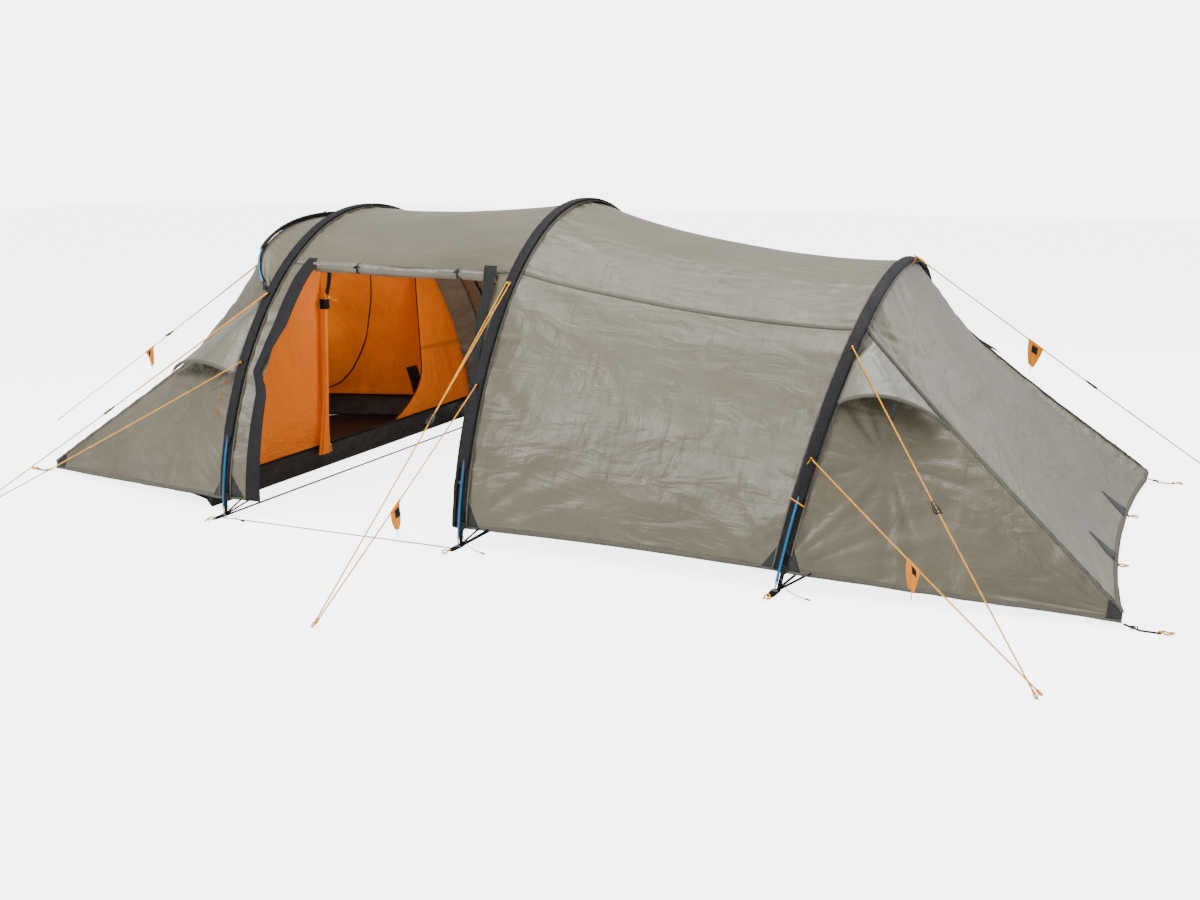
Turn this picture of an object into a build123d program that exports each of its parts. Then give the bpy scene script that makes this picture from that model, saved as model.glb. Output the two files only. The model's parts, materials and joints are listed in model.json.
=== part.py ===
from build123d import *

import os
from collections import namedtuple
from math import asin, copysign, cos, pi, radians, sin

# Tunnel tent for four to five people, pitched. Millimetres, X along the tent towards the rear apse,
# Y across it (the door side is -Y), Z up. The origin is on the ground under the middle hoop's crown.
# Each hoop is a pole arch in its own plane: across = W * cos(a) ** WIDTH_POWER, up = R * sin(a) ** power.

Hoop = namedtuple("Hoop", "name x base half_width rise lean power")

WIDTH_POWER = 0.97
RISE_POWER = 1.22
PIVOT_HEIGHT = 14
CLIP_HEIGHT = 1013
FRONT = Hoop("front", -1244, PIVOT_HEIGHT, 1315, 1365, -1.5, RISE_POWER)
MIDDLE = Hoop("middle", 0, PIVOT_HEIGHT, 1290, 1412, 0, RISE_POWER)
REAR = Hoop("rear", 1405, PIVOT_HEIGHT, 1290, 1188, 9.2, RISE_POWER)
BROW = Hoop("brow", -1312, CLIP_HEIGHT, 838, 378, -35, 1)
HOOPS = (FRONT, MIDDLE, REAR)

POLE_RADIUS = 6
POLE_BORE = 5.3
FERRULE_RADIUS = 5.0
FERRULE_BORE = 3.6
FERRULE_LENGTH = 80
SECTIONS = 9
BROW_SECTIONS = 3
BROW_POLE_RADIUS = 5
BROW_POLE_BORE = 4.2
SECTION_GAP = 0.6
TIP_LENGTH = 34
TIP_BALL = 4.5
TIP_NECK = 3
TIP_NECK_TOP = 18
TIP_SHOULDER = 20

SLEEVE_WIDTH = 50
SLEEVE_HEIGHT = 17
SLEEVE_BORE = 6.7
SLEEVE_FOOT = 330
BROW_SLEEVE_START = 0.6

FLY_INSET = 11
FLY_THICKNESS = 1.6
SEAM_GAP = 3
HEM_HEIGHT = 90
DOOR_SEAM_HEIGHT = 1150
MIDDLE_SEAM_HEIGHT = 1150
REAR_SEAM_HEIGHT = 965
BROW_START = 0.08
REAR_SEAM = 1.03

REAR_CORNER = (2642, 1151)
FRONT_CORNER = (-2630, 1000)
CORNER_LOW = 28
CORNER_HIGH = 58
CORNER_TILT = 6
HEM_BOW = 60

DOOR_SPAN = (-1125, -85)
DOOR_TOP = 1118

FRONT_WALL = -1400
REAR_WALL = 110
FRONT_CABIN_INSET = 75
REAR_CABIN_INSET = 290
TUB_INSET = 20
TUB_HEIGHT = 124
FLOOR_BOTTOM = 0
FLOOR_THICKNESS = 3
FRONT_CABIN_END = (-2350, 880, 250)
REAR_CABIN_END = (2180, 740, 370)
CABIN_DOOR_LEFT = (-280, -320)
CABIN_DOOR_RIGHT = (420, 665, 590)
CABIN_DOOR_LEVELS = (125, 484, 954)

STRAP_WIDTH = 20
STRAP_THICKNESS = 2
CORD_RADIUS = 1.8
RUNNER_CLEARANCE = 0.08
RUNNER_LENGTH = 60
RUNNER_RADIUS = 9

os.makedirs("parts", exist_ok=True)


# ---------------------------------------------------------------- hoop geometry


def flat_arch(hoop, angle, inset=0.0):
    """A point of the arch in its own plane, (across, up), at an angle from 0 (near foot) to pi."""
    reach = abs(cos(angle)) ** WIDTH_POWER
    across = -copysign((hoop.half_width - inset) * reach, cos(angle))
    return across, (hoop.rise - inset) * max(0.0, sin(angle)) ** hoop.power


def arch(hoop, angle, inset=0.0, shift=0.0):
    """The same point in the tent's frame, moved by shift along X."""
    across, up = flat_arch(hoop, angle, inset)
    lean = radians(hoop.lean)
    return Vector(hoop.x + shift + up * sin(lean), across, hoop.base + up * cos(lean))


def angle_at(hoop, height):
    """The near-side angle at which the arch is at this height above the ground."""
    up = (height - hoop.base) / cos(radians(hoop.lean))
    return asin((up / hoop.rise) ** (1 / hoop.power))


def steps(start, end, count):
    return [start + (end - start) * i / (count - 1) for i in range(count)]


def hoop_plane(hoop, shift=0.0):
    """The hoop's plane: its local x is across the tent and its local y goes up the arch."""
    lean = radians(hoop.lean)
    return Plane((hoop.x + shift, 0, hoop.base), x_dir=(0, 1, 0), z_dir=(cos(lean), 0, -sin(lean)))


def even_angles(hoop, count):
    """Angles that cut the pole, between its two tips, into pieces of equal length."""
    fine = steps(0.0, pi, 721)
    points = [arch(hoop, a) for a in fine]
    run = [0.0]
    for p, q in zip(points, points[1:]):
        run.append(run[-1] + (q - p).length)
    ends = TIP_LENGTH
    wanted = steps(ends, run[-1] - ends, count + 1)
    found = []
    for length in wanted:
        i = next(i for i, r in enumerate(run) if r >= length)
        share = (length - run[i - 1]) / (run[i] - run[i - 1])
        found.append(fine[i - 1] + share * (fine[i] - fine[i - 1]))
    return found


def angle_step(hoop, angle, length):
    """The change of angle that moves a point by this length along the arch."""
    return length / ((arch(hoop, angle + 1e-4) - arch(hoop, angle)).length / 1e-4)


def arch_edge(hoop, start, end, count=7):
    return Spline(*[arch(hoop, a) for a in steps(start, end, count)], mode=Mode.PRIVATE)


def across_edge(hoop, edge):
    """The plane square to an edge of the hoop at its start, with local x square to the hoop."""
    lean = radians(hoop.lean)
    return Plane(edge @ 0, x_dir=(cos(lean), 0, -sin(lean)), z_dir=edge % 0)


def strip(plane, hoop, span, outer, inner, count=9):
    """A thin band of an arch, between two insets, drawn on a plane."""
    start, end = span
    with BuildSketch(plane) as band:
        with BuildLine():
            Spline(*[flat_arch(hoop, a, outer) for a in steps(start, end, count)])
            Line(flat_arch(hoop, end, outer), flat_arch(hoop, end, inner))
            Spline(*[flat_arch(hoop, a, inner) for a in steps(end, start, count)])
            Line(flat_arch(hoop, start, inner), flat_arch(hoop, start, outer))
        make_face()
    return band.sketch


# ---------------------------------------------------------------- poles, sleeves and feet


def pole_tubes(hoop, count, outer, bore):
    cuts = even_angles(hoop, count)
    with BuildPart() as tubes:
        for start, end in zip(cuts, cuts[1:]):
            gap = angle_step(hoop, end, SECTION_GAP)
            path = arch_edge(hoop, start, end - gap)
            with BuildSketch(across_edge(hoop, path)):
                Circle(outer)
                Circle(bore, mode=Mode.SUBTRACT)
            sweep(path=path)
    return tubes


def pole_ferrules(hoop, count):
    with BuildPart() as ferrules:
        for angle in even_angles(hoop, count)[1:-1]:
            half = angle_step(hoop, angle, FERRULE_LENGTH / 2)
            path = arch_edge(hoop, angle - half, angle + half, 3)
            with BuildSketch(across_edge(hoop, path)):
                Circle(FERRULE_RADIUS)
                Circle(FERRULE_BORE, mode=Mode.SUBTRACT)
            sweep(path=path)
    return ferrules


def sleeve_section():
    """A flat fabric tunnel with room for the pole."""
    SlotOverall(SLEEVE_WIDTH, SLEEVE_HEIGHT)
    Circle(SLEEVE_BORE, mode=Mode.SUBTRACT)


def sleeve(hoop, start, shift=0.0):
    path = arch_edge(hoop, start, pi - start, 25)
    with BuildPart() as made:
        with BuildSketch(across_edge(hoop, path)):
            sleeve_section()
        sweep(path=path)
    return made


for hoop in HOOPS:
    with BuildPart() as tips:
        for side in (-1, 1):
            lean = radians(hoop.lean)
            up = Vector(sin(lean), 0, cos(lean))
            foot = Vector(hoop.x, side * hoop.half_width, hoop.base)
            with BuildSketch(Plane(foot, x_dir=(0, 1, 0), z_dir=Vector(0, 1, 0).cross(up))):
                with BuildLine():
                    neck = (TIP_BALL**2 - TIP_NECK**2) ** 0.5
                    ThreePointArc((0, -TIP_BALL), (TIP_BALL, 0), (TIP_NECK, neck))
                    Polyline(
                        (TIP_NECK, neck),
                        (TIP_NECK, TIP_NECK_TOP),
                        (POLE_RADIUS, TIP_SHOULDER),
                        (POLE_RADIUS, TIP_LENGTH - 1),
                        (0, TIP_LENGTH - 1),
                        (0, -TIP_BALL),
                    )
                make_face()
            revolve(axis=Axis(foot, up))
    tips.part.label = f"{hoop.name}_pole_tips"
    export_step(tips.part, f"parts/{hoop.name}_pole_tips.step")

    tubes = pole_tubes(hoop, SECTIONS, POLE_RADIUS, POLE_BORE)
    tubes.part.label = f"{hoop.name}_pole_tubes"
    export_step(tubes.part, f"parts/{hoop.name}_pole_tubes.step")

    ferrules = pole_ferrules(hoop, SECTIONS)
    ferrules.part.label = f"{hoop.name}_pole_ferrules"
    export_step(ferrules.part, f"parts/{hoop.name}_pole_ferrules.step")

    cover = sleeve(hoop, angle_at(hoop, SLEEVE_FOOT))
    cover.part.label = f"{hoop.name}_pole_sleeve"
    export_step(cover.part, f"parts/{hoop.name}_pole_sleeve.step")

# ---------------------------------------------------------------- brow pole

brow_tubes = pole_tubes(BROW, BROW_SECTIONS, BROW_POLE_RADIUS, BROW_POLE_BORE)
brow_tubes.part.label = "brow_pole_tubes"
export_step(brow_tubes.part, "parts/brow_pole_tubes.step")

brow_cover = sleeve(BROW, BROW_SLEEVE_START)
brow_cover.part.label = "brow_pole_sleeve"
export_step(brow_cover.part, "parts/brow_pole_sleeve.step")

EYE_RADIUS = 9
EYE_WIDTH = 9
PIN_RADIUS = 3
EYE_CLEARANCE = 0.06
CLIP_THICKNESS = 4

with BuildPart() as brow_eyes:
    lean = radians(BROW.lean)
    up = Vector(sin(lean), 0, cos(lean))
    for side in (-1, 1):
        pivot = Vector(BROW.x, side * BROW.half_width, BROW.base)
        with BuildSketch(Plane(pivot, x_dir=(0, 1, 0), z_dir=up)):
            Circle(BROW_POLE_RADIUS)
        extrude(amount=TIP_LENGTH - 1)
        with BuildSketch(Plane(pivot, x_dir=(1, 0, 0), z_dir=(0, 1, 0))):
            Circle(EYE_RADIUS)
        extrude(amount=EYE_WIDTH / 2, both=True)
        with BuildSketch(Plane(pivot, x_dir=(1, 0, 0), z_dir=(0, 1, 0))):
            Circle(PIN_RADIUS + EYE_CLEARANCE)
        extrude(amount=EYE_WIDTH, both=True, mode=Mode.SUBTRACT)
brow_eyes.part.label = "brow_pole_eyes"
export_step(brow_eyes.part, "parts/brow_pole_eyes.step")

with BuildPart() as brow_clips:
    for side in (-1, 1):
        outer = side * (BROW.half_width + EYE_WIDTH / 2 + 1)
        face = Plane((BROW.x, outer, BROW.base), x_dir=(1, 0, 0), z_dir=(0, side, 0))
        inward = Plane((BROW.x, outer, BROW.base), x_dir=(1, 0, 0), z_dir=(0, -side, 0))
        with BuildSketch(face):
            RectangleRounded(20, 26, 5)
        extrude(amount=CLIP_THICKNESS)
        with BuildSketch(inward):
            Circle(PIN_RADIUS)
        extrude(amount=EYE_WIDTH + 6)
brow_clips.part.label = "brow_clips"
export_step(brow_clips.part, "parts/brow_clips.step")

# ---------------------------------------------------------------- flysheet panels

FLY_INNER = FLY_INSET + FLY_THICKNESS


def tunnel_panel(first, second, first_span, second_span):
    """A fabric panel between two hoops, from one span of angles to another."""
    start = strip(hoop_plane(first, SEAM_GAP / 2), first, first_span, FLY_INSET, FLY_INNER)
    end = strip(hoop_plane(second, -SEAM_GAP / 2), second, second_span, FLY_INSET, FLY_INNER)
    with BuildPart() as panel:
        loft([start, end], ruled=True)
    return panel


def seam_margin(hoop, angle):
    return angle_step(hoop, angle, SEAM_GAP / 2)


def roof_span(hoop, seam):
    margin = seam_margin(hoop, seam)
    return seam + margin, pi - seam - margin


def side_span(hoop, seam):
    return angle_at(hoop, HEM_HEIGHT), seam - seam_margin(hoop, seam)


def mirrored(panel):
    """The same piece on the far side of the tent."""
    with BuildPart() as other:
        mirror(panel.part, about=Plane.XZ)
    return other


FRONT_SEAM = angle_at(FRONT, DOOR_SEAM_HEIGHT)
DOOR_SEAM = angle_at(MIDDLE, DOOR_SEAM_HEIGHT)
MIDDLE_SEAM = angle_at(MIDDLE, MIDDLE_SEAM_HEIGHT)
TAIL_SEAM = angle_at(REAR, REAR_SEAM_HEIGHT)

front_roof = tunnel_panel(FRONT, MIDDLE, roof_span(FRONT, FRONT_SEAM), roof_span(MIDDLE, DOOR_SEAM))
front_roof.part.label = "front_tunnel_roof"
export_step(front_roof.part, "parts/front_tunnel_roof.step")

rear_roof = tunnel_panel(MIDDLE, REAR, roof_span(MIDDLE, MIDDLE_SEAM), roof_span(REAR, TAIL_SEAM))
rear_roof.part.label = "rear_tunnel_roof"
export_step(rear_roof.part, "parts/rear_tunnel_roof.step")

rear_side = tunnel_panel(MIDDLE, REAR, side_span(MIDDLE, MIDDLE_SEAM), side_span(REAR, TAIL_SEAM))
rear_side.part.label = "rear_tunnel_near_side"
export_step(rear_side.part, "parts/rear_tunnel_near_side.step")

rear_far_side = mirrored(rear_side)
rear_far_side.part.label = "rear_tunnel_far_side"
export_step(rear_far_side.part, "parts/rear_tunnel_far_side.step")

front_side = tunnel_panel(FRONT, MIDDLE, side_span(FRONT, FRONT_SEAM), side_span(MIDDLE, DOOR_SEAM))
front_far_side = mirrored(front_side)
front_far_side.part.label = "front_tunnel_far_side"
export_step(front_far_side.part, "parts/front_tunnel_far_side.step")

DOOR_PLANE = Plane((0, -MIDDLE.half_width - 100, 0), x_dir=(1, 0, 0), z_dir=(0, -1, 0))

with BuildPart() as near_side:
    add(front_side.part)
    with BuildSketch(DOOR_PLANE):
        with BuildLine():
            left, right = DOOR_SPAN
            Polyline((left, 0), (left, DOOR_TOP), (right, DOOR_TOP), (right, 0), close=True)
        make_face()
    extrude(amount=-MIDDLE.half_width, mode=Mode.SUBTRACT)
near_side.part.label = "front_tunnel_near_side"
export_step(near_side.part, "parts/front_tunnel_near_side.step")


def corner_strip(corner):
    """The narrow end of an apse side panel, standing at its ground corner."""
    x, y = corner
    tilt = CORNER_TILT
    with BuildSketch(Plane((x, 0, 0), x_dir=(0, 1, 0), z_dir=(1, 0, 0))) as band:
        with BuildLine():
            Polyline(
                (-y, CORNER_LOW),
                (-y + tilt, CORNER_HIGH),
                (-y + tilt + FLY_THICKNESS, CORNER_HIGH),
                (-y + FLY_THICKNESS, CORNER_LOW),
                close=True,
            )
        make_face()
    return band.sketch


def apse_side(hoop, span, corner):
    """A near side panel of an apse: from a stretch of the hoop down to the ground corner."""
    outward = copysign(SEAM_GAP / 2, corner[0])
    leg = strip(hoop_plane(hoop, outward), hoop, span, FLY_INSET, FLY_INNER)
    with BuildPart() as panel:
        loft([leg, corner_strip(corner)], ruled=True)
    return panel


rear_apse_near = apse_side(REAR, side_span(REAR, REAR_SEAM), REAR_CORNER)
rear_apse_near.part.label = "rear_apse_near_side"
export_step(rear_apse_near.part, "parts/rear_apse_near_side.step")

rear_apse_far = mirrored(rear_apse_near)
rear_apse_far.part.label = "rear_apse_far_side"
export_step(rear_apse_far.part, "parts/rear_apse_far_side.step")


# The front apse's side panel starts on the front hoop and, above the brow clips, on the brow pole.
CLIP_ANGLE = angle_at(FRONT, CLIP_HEIGHT)
front_apse_near = apse_side(FRONT, side_span(FRONT, CLIP_ANGLE), FRONT_CORNER)
front_apse_near.part.label = "front_apse_near_side"
export_step(front_apse_near.part, "parts/front_apse_near_side.step")

front_apse_far = mirrored(front_apse_near)
front_apse_far.part.label = "front_apse_far_side"
export_step(front_apse_far.part, "parts/front_apse_far_side.step")


def end_panel(hoop, span, corner, inset=FLY_INSET):
    """The sloping end of an apse: from the crown of an arch down to its bowed hem."""
    x, y = corner
    outward = copysign(1, x)
    half = y - 2 * SEAM_GAP - FLY_THICKNESS
    shift = outward * SEAM_GAP / 2
    crown = Spline(*[arch(hoop, a, inset, shift) for a in steps(*span, 9)], mode=Mode.PRIVATE)
    bow = (x - outward * HEM_BOW, 0, CORNER_LOW)
    hem = ThreePointArc((x, -half, CORNER_LOW), bow, (x, half, CORNER_LOW), mode=Mode.PRIVATE)
    sheet = Face.make_surface_from_curves(crown.edge(), hem.edge())
    with BuildPart() as panel:
        thicken(sheet, amount=outward * FLY_THICKNESS)
    return panel


rear_end = end_panel(REAR, roof_span(REAR, REAR_SEAM), REAR_CORNER)
rear_end.part.label = "rear_end_panel"
export_step(rear_end.part, "parts/rear_end_panel.step")

front_end = end_panel(BROW, (BROW_START, pi - BROW_START), FRONT_CORNER, FLY_INSET + 3)
front_end.part.label = "front_end_panel"
export_step(front_end.part, "parts/front_end_panel.step")

sleeve_edge = -SLEEVE_WIDTH / 2 - SEAM_GAP
brow_back = strip(
    hoop_plane(FRONT, sleeve_edge), FRONT, roof_span(FRONT, CLIP_ANGLE), FLY_INSET, FLY_INNER
)
brow_front = strip(
    hoop_plane(BROW, SEAM_GAP / 2), BROW, (BROW_START, pi - BROW_START), FLY_INSET, FLY_INNER
)
with BuildPart() as brow_roof:
    loft([brow_front, brow_back], ruled=True)
brow_roof.part.label = "brow_roof"
export_step(brow_roof.part, "parts/brow_roof.step")

# ---------------------------------------------------------------- near door, rolled up

ROLL_RADIUS = 26
ROLL_HEIGHT = 1105
ROLL_INSET = 52
EDGE_WIDTH = 34
EDGE_THICKNESS = 4


def near_side_y(x, height):
    """Where the near side's outer face is, across the tent, between the front and middle hoops."""
    share = (x - FRONT.x) / (MIDDLE.x - FRONT.x)
    front_y = arch(FRONT, angle_at(FRONT, height), FLY_INSET).Y
    middle_y = arch(MIDDLE, angle_at(MIDDLE, height), FLY_INSET).Y
    return front_y + share * (middle_y - front_y)


left, right = DOOR_SPAN
with BuildPart() as door_roll:
    roll_start = Vector(left + 15, near_side_y(left, ROLL_HEIGHT) + ROLL_INSET, ROLL_HEIGHT)
    roll_end = Vector(right - 15, near_side_y(right, ROLL_HEIGHT) + ROLL_INSET, ROLL_HEIGHT)
    with BuildSketch(Plane(roll_start, x_dir=(0, 1, 0), z_dir=roll_end - roll_start)):
        Ellipse(ROLL_RADIUS, ROLL_RADIUS * 0.8)
    extrude(amount=(roll_end - roll_start).length)
door_roll.part.label = "near_door_roll"
export_step(door_roll.part, "parts/near_door_roll.step")

with BuildPart() as door_edging:
    for x, sign in ((left, 1), (right, -1)):
        path = Spline(
            *[Vector(x + sign * (EDGE_WIDTH / 2 + 1), near_side_y(x, z) + 6, z)
              for z in steps(HEM_HEIGHT + 5, ROLL_HEIGHT - 60, 7)],
            mode=Mode.PRIVATE,
        )
        with BuildSketch(Plane(path @ 0, x_dir=(1, 0, 0), z_dir=path % 0)):
            Rectangle(EDGE_WIDTH, EDGE_THICKNESS)
        sweep(path=path)
door_edging.part.label = "near_door_edging"
export_step(door_edging.part, "parts/near_door_edging.step")

# ---------------------------------------------------------------- inner cabins


def cabin_foot(hoop, inset):
    """The angle at which an arch inside the hoop meets the top of the tub."""
    base = TUB_HEIGHT + 2 - hoop.base
    return asin((base / (hoop.rise - inset)) ** (1 / hoop.power))


def cabin_wall(hoop, x, inset, door):
    """The upright end wall of a cabin, an arch over the tub, with or without its door opening."""
    foot = cabin_foot(hoop, inset)
    bottom, middle, top = [z - hoop.base for z in CABIN_DOOR_LEVELS]
    top_left, bottom_left = CABIN_DOOR_LEFT
    bottom_right, middle_right, top_right = CABIN_DOOR_RIGHT
    with BuildPart() as wall:
        with BuildSketch(Plane((x, 0, hoop.base), x_dir=(0, 1, 0), z_dir=(1, 0, 0))):
            with BuildLine():
                Spline(*[flat_arch(hoop, a, inset) for a in steps(foot, pi - foot, 15)])
                Line(flat_arch(hoop, pi - foot, inset), flat_arch(hoop, foot, inset))
            make_face()
            if door:
                with BuildLine():
                    Polyline((top_left, top), (bottom_left, bottom), (bottom_right, bottom))
                    ThreePointArc((bottom_right, bottom), (middle_right, middle), (top_right, top))
                    Line((top_right, top), (top_left, top))
                make_face(mode=Mode.SUBTRACT)
        extrude(amount=FLY_THICKNESS)
    return wall


def cabin_canopy(hoop, start_x, inset, end, waist=None):
    """The cabin's tapering roof and sides, an arched shell over the tub."""
    end_x, end_half, end_height = end
    outward = copysign(1, end_x)
    foot = cabin_foot(hoop, inset)
    plane = Plane((start_x, 0, hoop.base), x_dir=(0, 1, 0), z_dir=(1, 0, 0))
    inner = inset + FLY_THICKNESS
    sections = [strip(plane, hoop, (foot, pi - foot), inset, inner)]
    if waist:
        low = cabin_foot(waist, inset)
        sections.append(strip(hoop_plane(waist), waist, (low, pi - low), inset, inner))
    tail = Hoop("tail", end_x, TUB_HEIGHT + 2, end_half, end_height - TUB_HEIGHT, 0, 1)
    sections.append(strip(hoop_plane(tail), tail, (0.02, pi - 0.02), 0, FLY_THICKNESS))
    with BuildPart() as canopy:
        loft(sections if outward > 0 else sections[::-1], ruled=True)
    return canopy


def floor_outline(start_x, start_half, end, inset=0.0):
    """The tub's ground plan: its door end, its tapering sides and its blunt end."""
    end_x, end_half, _ = end
    outward = copysign(1, end_x)
    first, last = start_x + outward * inset, end_x - outward * inset
    return [
        (first, -start_half + inset),
        (last, -end_half + inset),
        (last, end_half - inset),
        (first, start_half - inset),
    ]


def cabin_tub(name, start_x, start_half, end):
    outline = floor_outline(start_x, start_half, end)
    hollow = floor_outline(start_x, start_half, end, FLY_THICKNESS)
    with BuildPart() as sheet:
        with BuildSketch(Plane.XY.offset(FLOOR_BOTTOM)):
            with BuildLine():
                Polyline(*outline, close=True)
            make_face()
        extrude(amount=FLOOR_THICKNESS)
    sheet.part.label = f"{name}_floor"
    export_step(sheet.part, f"parts/{name}_floor.step")
    with BuildPart() as walls:
        with BuildSketch(Plane.XY.offset(FLOOR_BOTTOM + FLOOR_THICKNESS)):
            with BuildLine():
                Polyline(*outline, close=True)
            make_face()
            with BuildLine():
                Polyline(*hollow, close=True)
            make_face(mode=Mode.SUBTRACT)
        extrude(amount=TUB_HEIGHT - FLOOR_BOTTOM - FLOOR_THICKNESS)
    walls.part.label = f"{name}_tub_walls"
    export_step(walls.part, f"parts/{name}_tub_walls.step")


front_wall = cabin_wall(FRONT, FRONT_WALL, FRONT_CABIN_INSET, door=True)
front_wall.part.label = "front_cabin_door_wall"
export_step(front_wall.part, "parts/front_cabin_door_wall.step")

front_canopy = cabin_canopy(FRONT, FRONT_WALL - SEAM_GAP, FRONT_CABIN_INSET, FRONT_CABIN_END)
front_canopy.part.label = "front_cabin_canopy"
export_step(front_canopy.part, "parts/front_cabin_canopy.step")

front_half = FRONT.half_width - FRONT_CABIN_INSET - TUB_INSET
cabin_tub("front_cabin", FRONT_WALL, front_half, FRONT_CABIN_END)

rear_wall = cabin_wall(MIDDLE, REAR_WALL, REAR_CABIN_INSET, door=False)
rear_start = REAR_WALL + FLY_THICKNESS + SEAM_GAP
rear_shell = cabin_canopy(MIDDLE, rear_start, REAR_CABIN_INSET, REAR_CABIN_END, REAR)
with BuildPart() as rear_canopy:
    add(rear_wall.part)
    add(rear_shell.part)
rear_canopy.part.label = "rear_cabin_canopy"
export_step(rear_canopy.part, "parts/rear_cabin_canopy.step")

rear_half = MIDDLE.half_width - REAR_CABIN_INSET - TUB_INSET
cabin_tub("rear_cabin", REAR_WALL, rear_half, REAR_CABIN_END)

DOOR_BUNDLE_RADIUS = 24
DOOR_BUNDLE_TOP = (-300, 930)
DOOR_BUNDLE_BOTTOM = (-335, TUB_HEIGHT + 40)

with BuildPart() as door_bundle:
    bundle_x = FRONT_WALL + FLY_THICKNESS + DOOR_BUNDLE_RADIUS + 4
    top = Vector(bundle_x, *DOOR_BUNDLE_TOP)
    bottom = Vector(bundle_x, *DOOR_BUNDLE_BOTTOM)
    with BuildSketch(Plane(bottom, x_dir=(0, 1, 0), z_dir=top - bottom)):
        Ellipse(DOOR_BUNDLE_RADIUS, DOOR_BUNDLE_RADIUS * 0.8)
    extrude(amount=(top - bottom).length)
door_bundle.part.label = "cabin_door_bundle"
export_step(door_bundle.part, "parts/cabin_door_bundle.step")

ZIP_START = -270
ZIP_HEIGHT = TUB_HEIGHT - 12
ZIP_BODY = (12, 8)
ZIP_BODY_DEPTH = 5
ZIP_PULL = (6, 30)
ZIP_PULL_DEPTH = 2
ZIP_ROUNDING = 2

with BuildPart() as zip_slider:
    slider_face = Plane(
        (FRONT_WALL + FLY_THICKNESS + 1, ZIP_START, ZIP_HEIGHT), x_dir=(0, 1, 0), z_dir=(1, 0, 0)
    )
    with BuildSketch(slider_face):
        RectangleRounded(*ZIP_BODY, ZIP_ROUNDING)
    extrude(amount=ZIP_BODY_DEPTH)
    with BuildSketch(slider_face.offset(ZIP_BODY_DEPTH)):
        with Locations((0, -12)):
            RectangleRounded(*ZIP_PULL, ZIP_ROUNDING)
    extrude(amount=ZIP_PULL_DEPTH)
zip_slider.part.label = "cabin_zip_slider"
export_step(zip_slider.part, "parts/cabin_zip_slider.step")

# ---------------------------------------------------------------- vent hoods and their props

HOOD_CLEARANCE = 10
HOOD_LIFT = 32
HOOD_SEAM_GAP = 30
PROP_WIDTH = 14
PROP_THICKNESS = 2.5
PROP_BARREL = 3
PROP_STANDOFF = 9

Vent = namedtuple("Vent", "name hoop corner seam top low seam_share push prop_drop")
VENTS = (
    Vent("rear", REAR, REAR_CORNER, REAR_SEAM, 850, 700, 0.355, 50, 60),
    Vent("front", FRONT, FRONT_CORNER, CLIP_ANGLE, 930, 630, 0.42, 45, 60),
)


def apse_point(vent, height, share, off):
    """A point beside the near apse panel: off the hoop at a height, a share of the way to the corner."""
    x, y = vent.corner
    start = arch(vent.hoop, angle_at(vent.hoop, height), FLY_INSET, copysign(30, x))
    point = start + share * (Vector(x, -y, CORNER_HIGH) - start)
    return point + off * apse_normal(vent)


def apse_normal(vent):
    """Outwards from the near apse panel, near its vent."""
    x, y = vent.corner
    low = arch(vent.hoop, angle_at(vent.hoop, vent.low), FLY_INSET)
    high = arch(vent.hoop, angle_at(vent.hoop, vent.top), FLY_INSET)
    normal = (high - low).cross(Vector(x, -y, CORNER_HIGH) - low).normalized()
    return normal if normal.Y < 0 else -normal


for vent in VENTS:
    seam_height = arch(vent.hoop, vent.seam, FLY_INSET).Z
    top_start = apse_point(vent, vent.top, 0.0, HOOD_CLEARANCE)
    top_end = apse_point(vent, seam_height - HOOD_SEAM_GAP, 0.03, HOOD_CLEARANCE)
    low_start = apse_point(vent, vent.low, 0.0, HOOD_CLEARANCE)
    low_end = apse_point(vent, seam_height - HOOD_SEAM_GAP, vent.seam_share, HOOD_CLEARANCE)
    middle = (low_start + low_end) / 2 + vent.push * apse_normal(vent) + Vector(0, 0, HOOD_LIFT)
    with BuildPart() as hood:
        top_edge = Line(top_start, top_end, mode=Mode.PRIVATE)
        low_edge = ThreePointArc(low_start, middle, low_end, mode=Mode.PRIVATE)
        thicken(Face.make_surface_from_curves(top_edge.edge(), low_edge.edge()), amount=FLY_THICKNESS)
    hood.part.label = f"{vent.name}_near_vent_hood"
    export_step(hood.part, f"parts/{vent.name}_near_vent_hood.step")
    far_hood = mirrored(hood)
    far_hood.part.label = f"{vent.name}_far_vent_hood"
    export_step(far_hood.part, f"parts/{vent.name}_far_vent_hood.step")

    base_height = (vent.low + seam_height) / 2 - vent.prop_drop
    base = apse_point(vent, base_height, vent.seam_share / 2, PROP_STANDOFF)
    reach = middle - base
    axis = Vector(copysign(1, vent.corner[0]), 0, 0)
    with BuildPart() as prop:
        with BuildSketch(Plane(base, x_dir=axis, z_dir=reach)):
            Rectangle(PROP_WIDTH, PROP_THICKNESS)
        extrude(amount=reach.length - 14)
        with BuildSketch(Plane(base - axis * PROP_WIDTH / 2, x_dir=(0, 0, 1), z_dir=axis)):
            Circle(PROP_BARREL)
        extrude(amount=PROP_WIDTH)
    prop.part.label = f"{vent.name}_near_vent_prop"
    export_step(prop.part, f"parts/{vent.name}_near_vent_prop.step")
    far_prop = mirrored(prop)
    far_prop.part.label = f"{vent.name}_far_vent_prop"
    export_step(far_prop.part, f"parts/{vent.name}_far_vent_prop.step")

# ---------------------------------------------------------------- ground straps and feet

TAB_LENGTH = 92
TAB_WIDTH = 40
TAB_THICKNESS = 4
TAB_BOTTOM = 2.2
EYELET_RADIUS = 13
EYELET_BORE = 7
EYELET_BOTTOM = 6.5
EYELET_THICKNESS = 4
PEG_HOLE_RADIUS = 5.5
PEG_HOLE_REACH = 62
SPACER_WIDTH = 12
CORNER_STRAP = 125

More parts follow.
